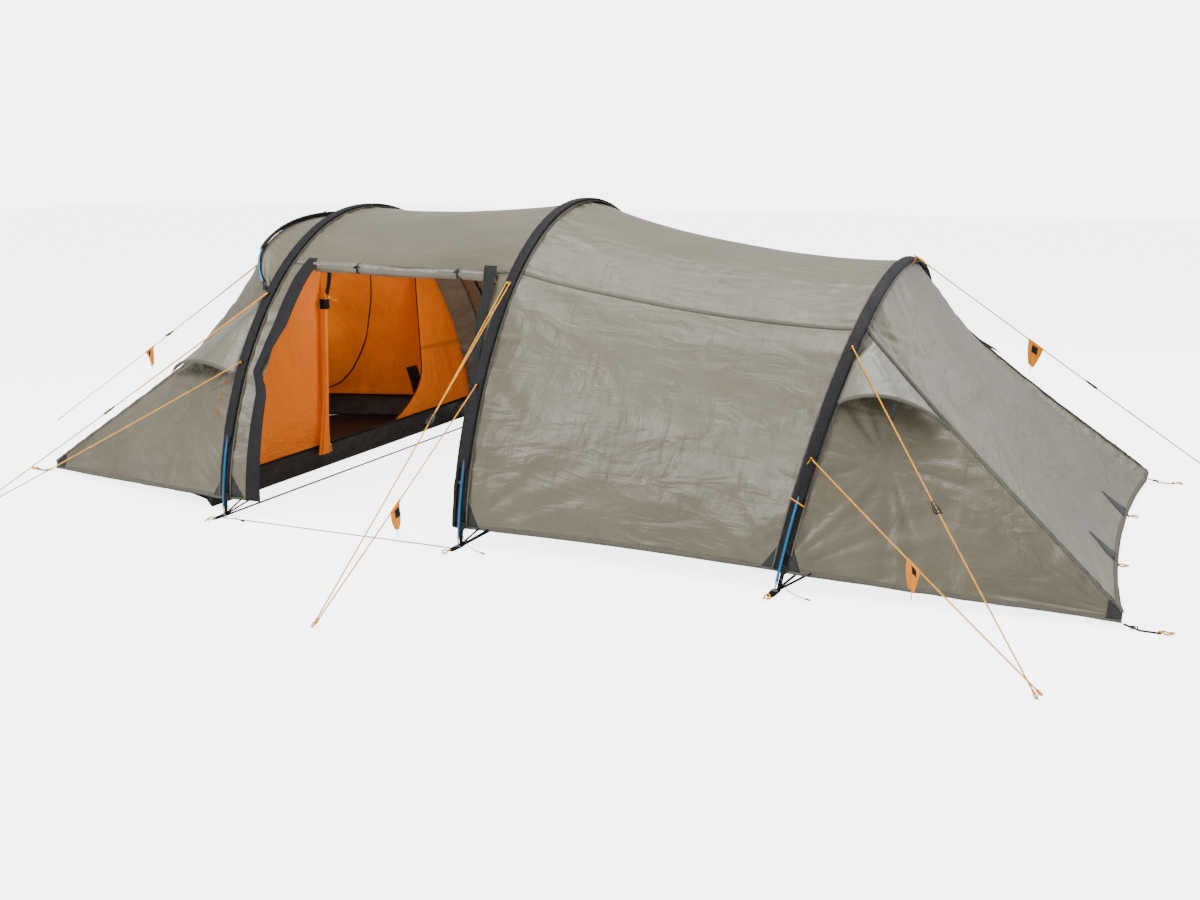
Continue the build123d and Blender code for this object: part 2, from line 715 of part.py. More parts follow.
with BuildPart() as foot_tabs:
    for hoop in HOOPS:
        for side in (-1, 1):
            y = side * (hoop.half_width + TAB_LENGTH / 2 - 20)
            with BuildSketch(Plane.XY.offset(TAB_BOTTOM)):
                with Locations((hoop.x, y)):
                    RectangleRounded(TAB_WIDTH, TAB_LENGTH, 8)
                with Locations((hoop.x, side * hoop.half_width)):
                    Circle(EYELET_BORE, mode=Mode.SUBTRACT)
                with Locations((hoop.x, side * (hoop.half_width + PEG_HOLE_REACH))):
                    Circle(PEG_HOLE_RADIUS, mode=Mode.SUBTRACT)
            extrude(amount=TAB_THICKNESS)
foot_tabs.part.label = "foot_tabs"
export_step(foot_tabs.part, "parts/foot_tabs.step")

with BuildPart() as eyelets:
    for hoop in HOOPS:
        with BuildSketch(Plane.XY.offset(EYELET_BOTTOM)):
            with Locations(*[(hoop.x, side * hoop.half_width) for side in (-1, 1)]):
                Circle(EYELET_RADIUS)
                Circle(EYELET_BORE, mode=Mode.SUBTRACT)
        extrude(amount=EYELET_THICKNESS)
eyelets.part.label = "pole_eyelets"
export_step(eyelets.part, "parts/pole_eyelets.step")

with BuildPart() as straps:
    with BuildSketch(Plane.XY):
        for hoop in (FRONT, MIDDLE):
            with Locations((hoop.x, 0)):
                Rectangle(STRAP_WIDTH, 2 * hoop.half_width)
        for side in (-1, 1):
            start = Vector(FRONT.x + TAB_WIDTH / 2 + 2, side * (FRONT.half_width + 30))
            end = Vector(MIDDLE.x - TAB_WIDTH / 2 - 2, side * (MIDDLE.half_width + 30))
            with BuildLine():
                Polyline(
                    start + (0, -SPACER_WIDTH / 2),
                    end + (0, -SPACER_WIDTH / 2),
                    end + (0, SPACER_WIDTH / 2),
                    start + (0, SPACER_WIDTH / 2),
                    close=True,
                )
            make_face()
            for x, y in (REAR_CORNER, FRONT_CORNER):
                with Locations((x + copysign(CORNER_STRAP / 2 + 4, x), side * (y + 6))):
                    Rectangle(CORNER_STRAP, STRAP_WIDTH)
    extrude(amount=STRAP_THICKNESS)
straps.part.label = "ground_straps"
export_step(straps.part, "parts/ground_straps.step")

LOOP_RADIUS = 17
LOOP_CORD = 2
HEM_LOOPS = (-400, 400)

with BuildPart() as peg_loops:
    spots = []
    for x, y in (REAR_CORNER, FRONT_CORNER):
        outward = copysign(1, x)
        spots += [(x + outward * (CORNER_STRAP + LOOP_RADIUS + 8), side * (y + 6)) for side in (-1, 1)]
        spots += [(x - outward * (HEM_BOW - LOOP_RADIUS - 12), side) for side in HEM_LOOPS]
    with Locations(*[(x, y, LOOP_CORD) for x, y in spots]):
        Torus(LOOP_RADIUS, LOOP_CORD)
peg_loops.part.label = "peg_loops"
export_step(peg_loops.part, "parts/peg_loops.step")

# ---------------------------------------------------------------- guy lines

GROUND_END = CORD_RADIUS + 1
Guy = namedtuple("Guy", "name hoop height peg runner flag")
SIDE_GUYS = (
    Guy("rear", REAR, 891, (2438, -1926), 0.5, 0),
    Guy("rear", REAR, 502, (2438, -1926), 0, 0.5),
    Guy("middle", MIDDLE, 1080, (17, -2342), 0.43, 0),
    Guy("middle", MIDDLE, 672, (17, -2342), 0, 0.55),
    Guy("front", FRONT, 985, (-2275, -1935), 0.5, 0),
    Guy("front", FRONT, 688, (-2275, -1935), 0, 0),
)
END_GUYS = (
    Guy("tail", REAR, 0, (3420, 0), 0.42, 0.3),
    Guy("nose", BROW, 0, (-3680, 0), 0.53, 0.62),
)
CORD_STANDOFF = -13
LOWER_GUY_SHIFT = 14


def guy_line(guy, side=-1):
    """The cord's start on its hoop and its end at the peg."""
    angle = angle_at(guy.hoop, guy.height) if guy.height else pi / 2
    start = arch(guy.hoop, angle, CORD_STANDOFF)
    if not guy.height:
        start += Vector(copysign(SLEEVE_WIDTH / 2 + SEAM_GAP, guy.peg[0]), 0, 0)
    shift = 0 if guy.runner else LOWER_GUY_SHIFT
    end = Vector(guy.peg[0] + shift, guy.peg[1], GROUND_END + shift)
    if side > 0:
        return Vector(start.X, -start.Y, start.Z), Vector(end.X, -end.Y, end.Z)
    return start, end


ALL_LINES = [(guy, guy_line(guy, side)) for guy in SIDE_GUYS for side in (-1, 1)]
ALL_LINES += [(guy, guy_line(guy)) for guy in END_GUYS]

with BuildPart() as cords:
    for guy, (start, end) in ALL_LINES:
        with BuildSketch(Plane(start, z_dir=end - start)):
            Circle(CORD_RADIUS)
        extrude(amount=(end - start).length)
cords.part.label = "guy_cords"
export_step(cords.part, "parts/guy_cords.step")


def runner_body(start, end, share):
    """A tapered line runner threaded on a cord."""
    along = (end - start).normalized()
    middle = start + share * (end - start)
    across = along.cross(Vector(0, 0, 1)).normalized()
    with BuildPart() as body:
        with BuildSketch(Plane(middle, x_dir=across, z_dir=along)):
            RectangleRounded(3 * RUNNER_RADIUS, RUNNER_RADIUS, 3)
        extrude(amount=RUNNER_LENGTH, taper=3)
        with BuildSketch(Plane(middle, x_dir=across, z_dir=along)):
            Circle(CORD_RADIUS + RUNNER_CLEARANCE)
        extrude(amount=RUNNER_LENGTH, mode=Mode.SUBTRACT)
    return body


far_runners = []
for guy, (start, end) in ALL_LINES:
    if not guy.runner:
        continue
    runner = runner_body(start, end, guy.runner)
    if start.Y > 1:
        far_runners.append(runner.part)
        continue
    runner.part.label = f"{guy.name}_guy_runner"
    export_step(runner.part, f"parts/{guy.name}_guy_runner.step")

with BuildPart() as far_side_runners:
    add(far_runners)
far_side_runners.part.label = "far_guy_runners"
export_step(far_side_runners.part, "parts/far_guy_runners.step")

FLAG = (75, 50)
FLAG_THICKNESS = 1.2

with BuildPart() as flags:
    for guy, (start, end) in ALL_LINES:
        if not guy.flag:
            continue
        along = (end - start).normalized()
        down = (Vector(0, 0, -1) - along * Vector(0, 0, -1).dot(along)).normalized()
        middle = start + guy.flag * (end - start) + down * (FLAG[1] / 2 + CORD_RADIUS + 2)
        with BuildSketch(Plane(middle, x_dir=along, z_dir=along.cross(down))):
            Rectangle(*FLAG)
        extrude(amount=FLAG_THICKNESS / 2, both=True)
flags.part.label = "guy_flags"
export_step(flags.part, "parts/guy_flags.step")
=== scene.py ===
"""Tunnel tent: cloth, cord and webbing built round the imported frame. Metres, in the row frame."""

import json
import math
from collections import namedtuple
from itertools import product

import bpy
import numpy as np
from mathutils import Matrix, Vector, noise


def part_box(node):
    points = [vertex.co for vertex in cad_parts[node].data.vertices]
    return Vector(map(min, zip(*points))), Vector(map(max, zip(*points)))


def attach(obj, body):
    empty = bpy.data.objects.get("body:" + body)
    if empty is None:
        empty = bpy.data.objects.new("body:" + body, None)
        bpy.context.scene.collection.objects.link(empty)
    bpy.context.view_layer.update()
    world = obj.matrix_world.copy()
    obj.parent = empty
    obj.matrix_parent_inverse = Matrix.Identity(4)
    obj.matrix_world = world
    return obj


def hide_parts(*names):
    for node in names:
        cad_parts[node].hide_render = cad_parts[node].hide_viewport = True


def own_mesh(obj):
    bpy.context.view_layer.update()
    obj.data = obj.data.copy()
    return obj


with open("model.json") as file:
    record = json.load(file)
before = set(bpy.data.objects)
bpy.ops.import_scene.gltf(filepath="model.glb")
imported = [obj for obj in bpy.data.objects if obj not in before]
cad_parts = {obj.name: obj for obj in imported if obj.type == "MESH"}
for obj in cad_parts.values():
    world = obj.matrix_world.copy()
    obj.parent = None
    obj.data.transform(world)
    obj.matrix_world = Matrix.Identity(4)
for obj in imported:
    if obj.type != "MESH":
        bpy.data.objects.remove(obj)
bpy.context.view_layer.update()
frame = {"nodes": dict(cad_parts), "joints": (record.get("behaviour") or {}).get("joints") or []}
JOINTS = {j["name"]: j for j in frame["joints"]}
KEEP = 0.03
PI = math.pi
X, Y, Z = np.eye(3)

# ---------------- shared shape of the hoops

Hoop = namedtuple("Hoop", "name x base half rise lean power")
WIDTH_POWER = 0.97
HOOP_POWER, BROW_POWER = 1.22, 1.0
TUBE_RADIUS, TIP_RADIUS = 0.006, 0.006
BROW_TUBE_RADIUS, BROW_EYE_RADIUS = 0.005, 0.0045


def read_hoop(name, ends=None, end_radius=TIP_RADIUS, tube_radius=TUBE_RADIUS, power=HOOP_POWER):
    """The arch of a hoop, from its joint and the boxes of its pole and pole ends."""
    x, _, base = JOINTS[f"{name}_fold" if ends else f"{name}_hoop_fold"]["pos_m"]
    low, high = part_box(f"{name}_pole_tubes")
    crown = high.x - tube_radius if high.x - x > x - low.x + 1e-4 else low.x + tube_radius
    up = high.z - tube_radius - base
    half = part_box(ends or f"{name}_pole_tips")[1].y - end_radius
    return Hoop(name, x, base, half, math.hypot(crown - x, up), math.atan2(crown - x, up), power)


FRONT, MIDDLE, REAR = HOOPS = [read_hoop(name) for name in ("front", "middle", "rear")]
BROW = read_hoop("brow", "brow_pole_eyes", BROW_EYE_RADIUS, BROW_TUBE_RADIUS, BROW_POWER)


def arch(hoop, angle, inset=0.0, shift=0.0):
    """A point of the arch, at an angle from 0 at the near foot to pi at the far foot."""
    across = -math.copysign((hoop.half - inset) * abs(math.cos(angle)) ** WIDTH_POWER, math.cos(angle))
    up = (hoop.rise - inset) * max(0.0, math.sin(angle)) ** hoop.power
    return vec(hoop.x + shift + up * math.sin(hoop.lean), across, hoop.base + up * math.cos(hoop.lean))


def angle_at(hoop, height):
    """The near-side angle at which the arch is this high above the ground."""
    up = (height - hoop.base) / math.cos(hoop.lean)
    return math.asin(min(1.0, up / hoop.rise) ** (1 / hoop.power))


def vec(*numbers):
    return np.array(numbers, float)


def steps(start, end, count):
    return [start + (end - start) * i / (count - 1) for i in range(count)]


def between(a, b, count):
    return [a + s * (b - a) for s in steps(0, 1, count)]


def turns_of(count):
    """The angles of a full turn, without its end."""
    return [2 * PI * k / count for k in range(count)]


def surface(point, rows, columns):
    """A grid of point(row share, column share); rows and columns are counts or lists of shares."""
    rows, columns = [steps(0, 1, n) if isinstance(n, int) else n for n in (rows, columns)]
    return np.array([[point(s, t) for t in columns] for s in rows])


def unit(v):
    return np.asarray(v) / (np.linalg.norm(v) + 1e-12)


def hump(t):
    """0 at both ends of a span and 1 in its middle."""
    return 4 * t * (1 - t)


def mirrored(points):
    """A grid of points reflected to the far side, its rows reversed so that it still faces outwards."""
    return (points * vec(1, -1, 1))[::-1].copy()


def wave(u, v, seed, octaves=3):
    """Smooth noise of two coordinates."""
    return sum(0.5**k * noise.noise(Vector((u * 2**k, v * 2**k, seed + 7.3 * k))) for k in range(octaves))


# ---------------- materials


class Shader:
    """A node tree under construction."""

    def __init__(self, name):
        self.material = bpy.data.materials.new(name)
        self.material.use_nodes = True
        self.tree = self.material.node_tree
        self.tree.nodes.clear()

    def add(self, kind, inputs=None, out=0, **settings):
        node = self.tree.nodes.new("ShaderNode" + kind)
        for key, value in settings.items():
            setattr(node, key, value)
        for key, value in (inputs or {}).items():
            if isinstance(value, bpy.types.NodeSocket):
                self.tree.links.new(value, node.inputs[key])
            else:
                node.inputs[key].default_value = value
        return node.outputs[out]

    def maths(self, operation, a, b=0.0):
        return self.add("Math", {0: a, 1: b}, operation=operation)

    def times(self, a, b):
        return self.maths("MULTIPLY", a, b)

    def mix(self, factor, a, b):
        return self.add("MixRGB", {0: factor, 1: a, 2: b})

    def ramp(self, value, low, high, to_low=0.0, to_high=1.0):
        return self.add("MapRange", {0: value, 1: low, 2: high, 3: to_low, 4: to_high})

    def scaled(self, vector, scale, turn=0.0):
        return self.add("Mapping", {"Vector": vector, "Scale": scale, "Rotation": (0, 0, turn)})

    def noise(self, vector, scale, detail=3.0, distortion=0.0):
        return self.add(
            "TexNoise", {"Vector": vector, "Scale": scale, "Detail": detail, "Distortion": distortion}
        )

    def uv(self):
        """The UV map with its two coordinates."""
        uv = self.add("UVMap")
        u = self.add("SeparateXYZ", {0: uv})
        return uv, u, self.tree.nodes[-1].outputs[1]

    def ripple(self, value, pitch):
        return self.maths("SINE", self.times(value, 2 * PI / pitch))

    def bump(self, height, strength, distance, under=None):
        below = {"Normal": under} if under else {}
        return self.add("Bump", {"Strength": strength, "Distance": distance, "Height": height, **below})

    def surface(self, tone, roughness, bump, **more):
        inputs = {"Base Color": tone, "Roughness": roughness, "Normal": bump}
        inputs |= {key.replace("_", " ").replace("Ior", "IOR"): value for key, value in more.items()}
        return self.add("BsdfPrincipled", inputs)

    def finish(self, surface):
        out = self.tree.nodes.new("ShaderNodeOutputMaterial")
        self.tree.links.new(surface, out.inputs["Surface"])
        return self.material


def rgb(r, g, b):
    return (r, g, b, 1.0)


RIP_THREAD = 0.1
GRIME_TOP, GRIME_BOTTOM = 0.30, 0.02
TAPE_RIB, STITCH_PITCH, STITCH_LENGTH = 0.0018, 0.0042, 0.62


def fabric(name, colour, dark, ripstop=0.006, sheen=0.0, rough=0.5, glow=0.0, crinkle=0.35, coat=0.0,
           painted_glow=0.0, shine=0.5, thread=0.0006):
    """Coated woven cloth: weave, ripstop grid, crinkles, uneven colour, grime towards the ground, and an
    optional painted glow: emission in the cloth's own tone.
    """
    s = Shader(name)
    uv, u, v = s.uv()
    height = s.add("SeparateXYZ", {0: s.add("NewGeometry")}, out=2)
    tone = s.mix(s.ramp(s.noise(uv, 1.7, 4.0, 0.6), 0.35, 0.65), colour, dark)
    rips = [s.maths("LESS_THAN", s.maths("FRACT", s.maths("DIVIDE", c, ripstop)), RIP_THREAD) for c in (u, v)]
    tone = s.mix(s.times(s.maths("MAXIMUM", *rips), 0.06), tone, rgb(1, 1, 1))
    grime = s.times(s.ramp(height, GRIME_TOP, GRIME_BOTTOM), s.ramp(s.noise(uv, 9.0, 5.0), 0.4, 0.7))
    tone = s.mix(s.times(grime, 0.30), tone, rgb(dark[0] * 0.5, dark[1] * 0.47, dark[2] * 0.4))
    folds = s.noise(s.scaled(uv, (2.2, 6.0, 1.0), 0.5), 1.6, 4.0, 1.4)
    cross = s.noise(s.scaled(uv, (7.0, 2.6, 1.0), -0.35), 1.5, 3.0, 1.0)
    bump = s.bump(s.maths("ADD", s.times(folds, 1.0), s.times(cross, 0.6)), crinkle, 0.02)
    bump = s.bump(s.times(s.ripple(u, thread), s.ripple(v, thread)), 0.12, 0.0004, bump)
    roughness = s.ramp(s.noise(uv, 5.0, 3.0), 0.3, 0.7, rough - 0.07, rough + 0.09)
    # Emission in the cloth's own tone is a painted glow, as if the cloth were lit from within.
    surface = s.surface(tone, roughness, bump, Sheen_Weight=sheen, Sheen_Roughness=0.4, Coat_Weight=coat,
                        Coat_Roughness=0.35, Emission_Color=tone, Emission_Strength=painted_glow,
                        Specular_Ior_Level=shine)
    if glow:
        through = s.add("BsdfTranslucent", {"Color": tone, "Normal": bump})
        surface = s.add("MixShader", {0: glow, 1: surface, 2: through})
    return s.finish(surface)


def webbing(name, colour, thread_colour, pitch=0.0024):
    """Woven tape with ribs across it and a line of stitches along each edge; UV runs along and across."""
    s = Shader(name)
    uv, u, v = s.uv()
    edge = s.maths("ABSOLUTE", s.maths("SUBTRACT", s.maths("FRACT", v), 0.5))
    dash = s.maths("LESS_THAN", s.maths("FRACT", s.maths("DIVIDE", u, STITCH_PITCH)), STITCH_LENGTH)
    row = s.maths("LESS_THAN", s.maths("ABSOLUTE", s.maths("SUBTRACT", edge, 0.5)), 0.0015)
    tone = s.mix(s.ramp(s.noise(uv, 22.0, 4.0), 0.35, 0.7), colour, rgb(*(c * 0.6 for c in colour[:3])))
    tone = s.mix(s.times(s.times(dash, row), 0.8), tone, thread_colour)
    bump = s.bump(s.maths("ADD", s.ripple(u, pitch), s.ripple(v, TAPE_RIB)), 0.5, 0.0006)
    return s.finish(s.surface(tone, 0.75, bump, Specular_Ior_Level=0.2))


def cord(name, colour, fleck):
    """Braided cord with a faint painted glow in its own colour; UV runs along and around."""
    s = Shader(name)
    uv = s.add("UVMap")
    slants = [s.scaled(uv, (900, 700, 1), turn) for turn in (0.7, -0.7)]
    strands = [s.add("TexWave", {"Vector": slant, "Scale": 1.0}) for slant in slants]
    both = s.times(*(s.add("RGBToBW", {0: strand}) for strand in strands))
    tone = s.mix(s.ramp(s.noise(uv, 60.0, 2.0), 0.52, 0.68), colour, fleck)
    bump = s.bump(both, 0.5, 0.0005)
    # A faint emission in the cord's tone is a painted glow.
    return s.finish(s.surface(tone, 0.62, bump, Emission_Color=tone, Emission_Strength=0.12))


def hard(name, colour, metallic, rough, worn, scratch=(300, 300, 20)):
    """Metal or plastic with fine scratches, faint wear and uneven gloss."""
    s = Shader(name)
    spot = s.add("TexCoord", out=3)
    fine = s.noise(s.scaled(spot, scratch), 1.0, 4.0)
    wear = s.ramp(s.noise(spot, 30.0, 5.0), 0.56, 0.72)
    tone = s.mix(s.times(wear, 0.55), colour, worn)
    roughness = s.ramp(fine, 0.3, 0.7, rough - 0.07, rough + 0.1)
    return s.finish(s.surface(tone, roughness, s.bump(fine, 0.08, 0.0008), Metallic=metallic))


FLY = fabric("fly_cloth", rgb(0.158, 0.140, 0.088), rgb(0.133, 0.115, 0.069), sheen=0.03, rough=0.36,
             coat=0.12, glow=0.10, crinkle=0.55)
HOOD = fabric("hood_cloth", rgb(0.178, 0.173, 0.125), rgb(0.148, 0.141, 0.097), sheen=0.06, rough=0.30,
              coat=0.25, crinkle=0.45, glow=0.05)
SLEEVE = fabric("sleeve_cloth", rgb(0.0035, 0.0035, 0.0045), rgb(0.0060, 0.0060, 0.0075), 0.004, rough=0.62,
                crinkle=0.3, shine=0.14)
PATCH = fabric("patch_cloth", rgb(0.026, 0.028, 0.026), rgb(0.018, 0.019, 0.018), 0.003, rough=0.6,
               crinkle=0.2, shine=0.2)
# The cabin cloth has a painted glow, emission in its own orange, on top of its translucency.
ORANGE = fabric("cabin_cloth", rgb(0.84, 0.235, 0.0005), rgb(0.74, 0.180, 0.0005), 0.005, 0.02, 0.60,
                glow=0.35, crinkle=0.8, painted_glow=0.24, shine=0.2)
TUB = fabric("tub_cloth", rgb(0.0050, 0.0048, 0.0042), rgb(0.0085, 0.0080, 0.0068), 0.008, rough=0.42,
             crinkle=0.5, shine=0.18)
MESH = fabric("mesh_cloth", rgb(0.020, 0.018, 0.014), rgb(0.030, 0.026, 0.020), 0.002, 0.02, 0.8, crinkle=0.2)
# The flag cloth has a painted glow, emission in its own orange.
FLAG = fabric("flag_cloth", rgb(0.90, 0.290, 0.0005), rgb(0.84, 0.240, 0.0005), 0.004, glow=0.12, crinkle=0.3,
              painted_glow=0.16, shine=0.2)
WEB = webbing("black_webbing", rgb(0.0050, 0.0050, 0.0058), rgb(0.030, 0.030, 0.030))
TAPE = webbing("seam_tape", rgb(0.165, 0.155, 0.122), rgb(0.24, 0.23, 0.19), 0.0012)
DARK_TAPE = webbing("dark_seam_tape", rgb(0.030, 0.014, 0.006), rgb(0.070, 0.040, 0.020), 0.0012)
CORD = cord("guy_cord", rgb(0.80, 0.330, 0.006), rgb(0.90, 0.48, 0.040))
LOOP = cord("loop_cord", rgb(0.82, 0.300, 0.003), rgb(0.90, 0.45, 0.030))
GREY_CORD = cord("spacer_cord", rgb(0.060, 0.060, 0.064), rgb(0.12, 0.12, 0.125))
BLUE = hard("blue_pole", rgb(0.030, 0.175, 0.350), 0.75, 0.32, rgb(0.15, 0.33, 0.48))
STEEL = hard("bare_metal", rgb(0.62, 0.62, 0.63), 0.95, 0.30, rgb(0.42, 0.41, 0.40))
PLASTIC = hard("black_plastic", rgb(0.006, 0.006, 0.0065), 0.0, 0.45, rgb(0.020, 0.020, 0.020), (90, 90, 90))
GOLD = hard("zip_metal", rgb(0.75, 0.50, 0.16), 0.95, 0.28, rgb(0.50, 0.33, 0.12))

SLOTS = {
    "fly_fabric": (FLY, HOOD, TAPE, MESH), "sleeve_fabric": (SLEEVE, PATCH), "webbing": (WEB,),
    "cabin_fabric": (ORANGE, DARK_TAPE), "tub_fabric": (TUB,), "cord": (CORD, LOOP, GREY_CORD),
    "flag_fabric": (FLAG,), "black_plastic": (PLASTIC,), "bare_metal": (GOLD,),
}
SLOT_OF = {material: slot for slot, materials in SLOTS.items() for material in materials}

# ---------------- mesh helpers


def lengths(path):
    return np.concatenate([[0], np.cumsum(np.linalg.norm(np.diff(path, axis=0), axis=1))])


class Build:
    """Collects grids, tubes and strips into one mesh."""

    def __init__(self):
        self.verts, self.faces, self.uvs = [], [], []

    def quads(self, rows, columns, closed=False, skip=None, caps=False):
        """Faces between the newest rows of points; closed joins the last column to the first."""
        base = len(self.verts) - rows * columns
        for i, j in product(range(rows - 1), range(columns if closed else columns - 1)):
            if not (skip and skip(i, j)):
                low, high, k = base + i * columns, base + (i + 1) * columns, (j + 1) % columns
                self.faces.append((low + j, low + k, high + k, high + j))
        if caps:
            end = base + (rows - 1) * columns
            self.faces.append(tuple(range(base + columns - 1, base - 1, -1)))
            self.faces.append(tuple(range(end, end + columns)))
        return self

    def grid(self, points, closed=False, skip=None):
        """A grid of points (rows, columns, 3), with UV measured along it."""
        points = np.asarray(points)
        v = np.cumsum(np.linalg.norm(np.diff(points, axis=0), axis=2), axis=0)
        u = np.cumsum(np.linalg.norm(np.diff(points, axis=1), axis=2), axis=1)
        u, v = np.pad(u, ((0, 0), (1, 0))), np.pad(v, ((1, 0), (0, 0)))
        self.verts += list(points.reshape(-1, 3))
        self.uvs += [(float(a), float(b)) for a, b in zip(u.ravel(), v.ravel())]
        return self.quads(*points.shape[:2], closed, skip)

    def tube(self, path, radius, sides=8, cap=True):
        """A round cord along a path; radius may be a number or a list."""
        path = np.asarray(path, float)
        radii = np.broadcast_to(radius, len(path))
        tangent = np.gradient(path, axis=0)
        side = unit(np.cross(tangent[0], (0.13, 0.29, 0.95)))
        for point, ahead, r, length in zip(path, tangent, radii, lengths(path)):
            t = unit(ahead)
            side = unit(side - t * (side @ t))
            other = np.cross(t, side)
            for a in turns_of(sides):
                self.verts.append(point + r * (math.cos(a) * side + math.sin(a) * other))
                self.uvs.append((float(length), r * a))
        return self.quads(len(path), sides, closed=True, caps=cap)

    def strip(self, path, normals, width, thickness, lift=0.0):
        """A flat tape along a path, lying on a surface with this outward normal or these normals."""
        path = np.asarray(path, float)
        normals = np.broadcast_to(np.asarray(normals, float), path.shape)
        widths = np.broadcast_to(width, len(path))
        low, high = lift, lift + thickness
        section = ((-0.5, low, 0), (-0.5, high, 0.002), (0.5, high, 0.998), (0.5, low, 1.0))
        tangent = np.gradient(path, axis=0)
        for point, ahead, n, w, length in zip(path, tangent, normals, widths, lengths(path)):
            n = unit(n)
            side = unit(np.cross(ahead, n))
            for a, b, v in section:
                self.verts.append(point + side * a * w + n * b)
                self.uvs.append((float(length), v))
        return self.quads(len(path), len(section), closed=True, caps=True)

    def box(self, centre, axes, sizes):
        """A block with these unit axes and sizes."""
        base = len(self.verts)
        for corner in product((-0.5, 0.5), repeat=3):
            point = np.asarray(centre)
            for share, size, axis in zip(corner, sizes, axes):
                point = point + share * size * np.asarray(axis)
            self.verts.append(point)
            self.uvs.append((corner[0] * sizes[0], corner[1] * sizes[1]))
        for f in ((0, 1, 3, 2), (4, 6, 7, 5), (0, 4, 5, 1), (2, 3, 7, 6), (0, 2, 6, 4), (1, 5, 7, 3)):
            self.faces.append(tuple(base + i for i in f))
        return self

    def loop(self, centre, radii, axes, cord_radius, turns=32, lift=0.0, seed=0):
        """A closed loop of cord, slightly out of round."""
        path = []
        for a in turns_of(turns) + [2 * PI]:
            wobble = 1 + 0.06 * math.sin(2 * a + seed) + 0.04 * math.sin(3 * a + 2 * seed)
            across = wobble * radii[0] * math.cos(a) * np.asarray(axes[0])
            along = wobble * radii[1] * math.sin(a) * np.asarray(axes[1])
            path.append(np.asarray(centre) + across + along + lift * Z * abs(math.sin(a + seed)))
        return self.tube(path, cord_radius, 7, cap=False)

    def add(self, other):
        """Takes in another mesh."""
        base = len(self.verts)
        self.verts += other.verts
        self.uvs += other.uvs
        self.faces += [tuple(base + i for i in f) for f in other.faces]

    def make(self, name, material, thickness=0.0):
        mesh = bpy.data.meshes.new(name)
        mesh.from_pydata([tuple(map(float, v)) for v in self.verts], [], self.faces)
        mesh.materials.append(material)
        layer = mesh.uv_layers.new(name="UVMap")
        for loop in mesh.loops:
            layer.data[loop.index].uv = self.uvs[loop.vertex_index]
        mesh.shade_smooth()
        obj = bpy.data.objects.new(name, mesh)
        bpy.context.scene.collection.objects.link(obj)
        if thickness:
            solid = obj.modifiers.new("thickness", "SOLIDIFY")
            solid.thickness = thickness
            solid.offset = 0
        return obj

    def show(self, name, material, nodes=(), thickness=0.0, body="root", keep=KEEP, slot=None):
        """Puts the mesh on its CAD body in place of CAD nodes."""
        obj = self.make(name, material, thickness)
        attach(obj, body)
        if keep:
            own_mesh(obj)
        slot or SLOT_OF[material]
        if nodes:
            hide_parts(*([nodes] if isinstance(nodes, str) else nodes))
        return obj


def normals_of(points):
    """Unit normals of a grid, facing away from the tent's middle line."""
    n = np.cross(np.gradient(points, axis=1), np.gradient(points, axis=0))
    n /= np.linalg.norm(n, axis=2, keepdims=True) + 1e-12
    centre = vec(points[..., 0].mean() * 0.9, 0.0, 0.25)
    flip = np.sign(((points - centre) * n).sum(axis=2).mean())
    return n * (flip if flip else 1.0)


def sheet_normals(sheet, outside):
    """Unit normals of a grid, on the side that faces this direction."""
    n = normals_of(sheet)
    return n if (n * np.array(outside)).sum(axis=2).mean() > 0 else -n


def on_sheet(sheet, u, v):
    """A point of a grid at a share of its rows and columns."""
    rows, cols = sheet.shape[:2]
    i, j = min(u * (rows - 1), rows - 1.001), min(v * (cols - 1), cols - 1.001)
    a, b = int(i), int(j)
    s, t = i - a, j - b
    return ((1 - s) * (1 - t) * sheet[a, b] + (1 - s) * t * sheet[a, b + 1]
            + s * (1 - t) * sheet[a + 1, b] + s * t * sheet[a + 1, b + 1])


SLACK = 0.014
DRAPE_FRAMES = 36
BLOWN_OFF = 0.35
STIFF = 14.0
CLOTH_SETTINGS = {
    "quality": 6, "mass": 0.15, "air_damping": 3.0, "tension_stiffness": STIFF,
    "compression_stiffness": STIFF, "shear_stiffness": STIFF * 0.5, "bending_stiffness": 1.0,
    "vertex_group_mass": "pins",
}
HELD, TACKED, HUNG = 1.0, 0.5, 0.2


def drape(points, pins, grow):
    """The grid as cloth: held at its pinned points, a little longer than the gap it spans, under gravity."""
    obj = Build().grid(points).make("drape", FLY)
    group = obj.vertex_groups.new(name="pins")
    for level in (HELD, TACKED, HUNG):
        chosen = [int(k) for k in np.flatnonzero(np.isclose(pins.ravel(), level, atol=0.02))]
        if chosen:
            group.add(chosen, level, "REPLACE")
    cloth = obj.modifiers.new("cloth", "CLOTH")
    for key, value in CLOTH_SETTINGS.items():
        setattr(cloth.settings, key, value)
    cloth.settings.shrink_min = -grow
    cloth.settings.effector_weights.gravity = 0.5
    cloth.collision_settings.use_collision = False
    scene = bpy.context.scene
    cloth.point_cache.frame_start, cloth.point_cache.frame_end = 1, DRAPE_FRAMES
    scene.frame_start, scene.frame_end = 1, DRAPE_FRAMES
    for f in range(1, DRAPE_FRAMES + 1):
        scene.frame_set(f)
    found = obj.evaluated_get(bpy.context.evaluated_depsgraph_get())
    co = np.zeros(points.size, np.float32)
    found.data.vertices.foreach_get("co", co)
    scene.frame_set(1)
    mesh = obj.data
    bpy.data.objects.remove(obj)
    bpy.data.meshes.remove(mesh)
    moved = co.reshape(points.shape).astype(float) - points
    if not np.isfinite(moved).all() or np.abs(moved).max() > BLOWN_OFF:
        return points
    size = np.linalg.norm(moved, axis=2, keepdims=True)
    return points + moved * SLACK / (SLACK + size)


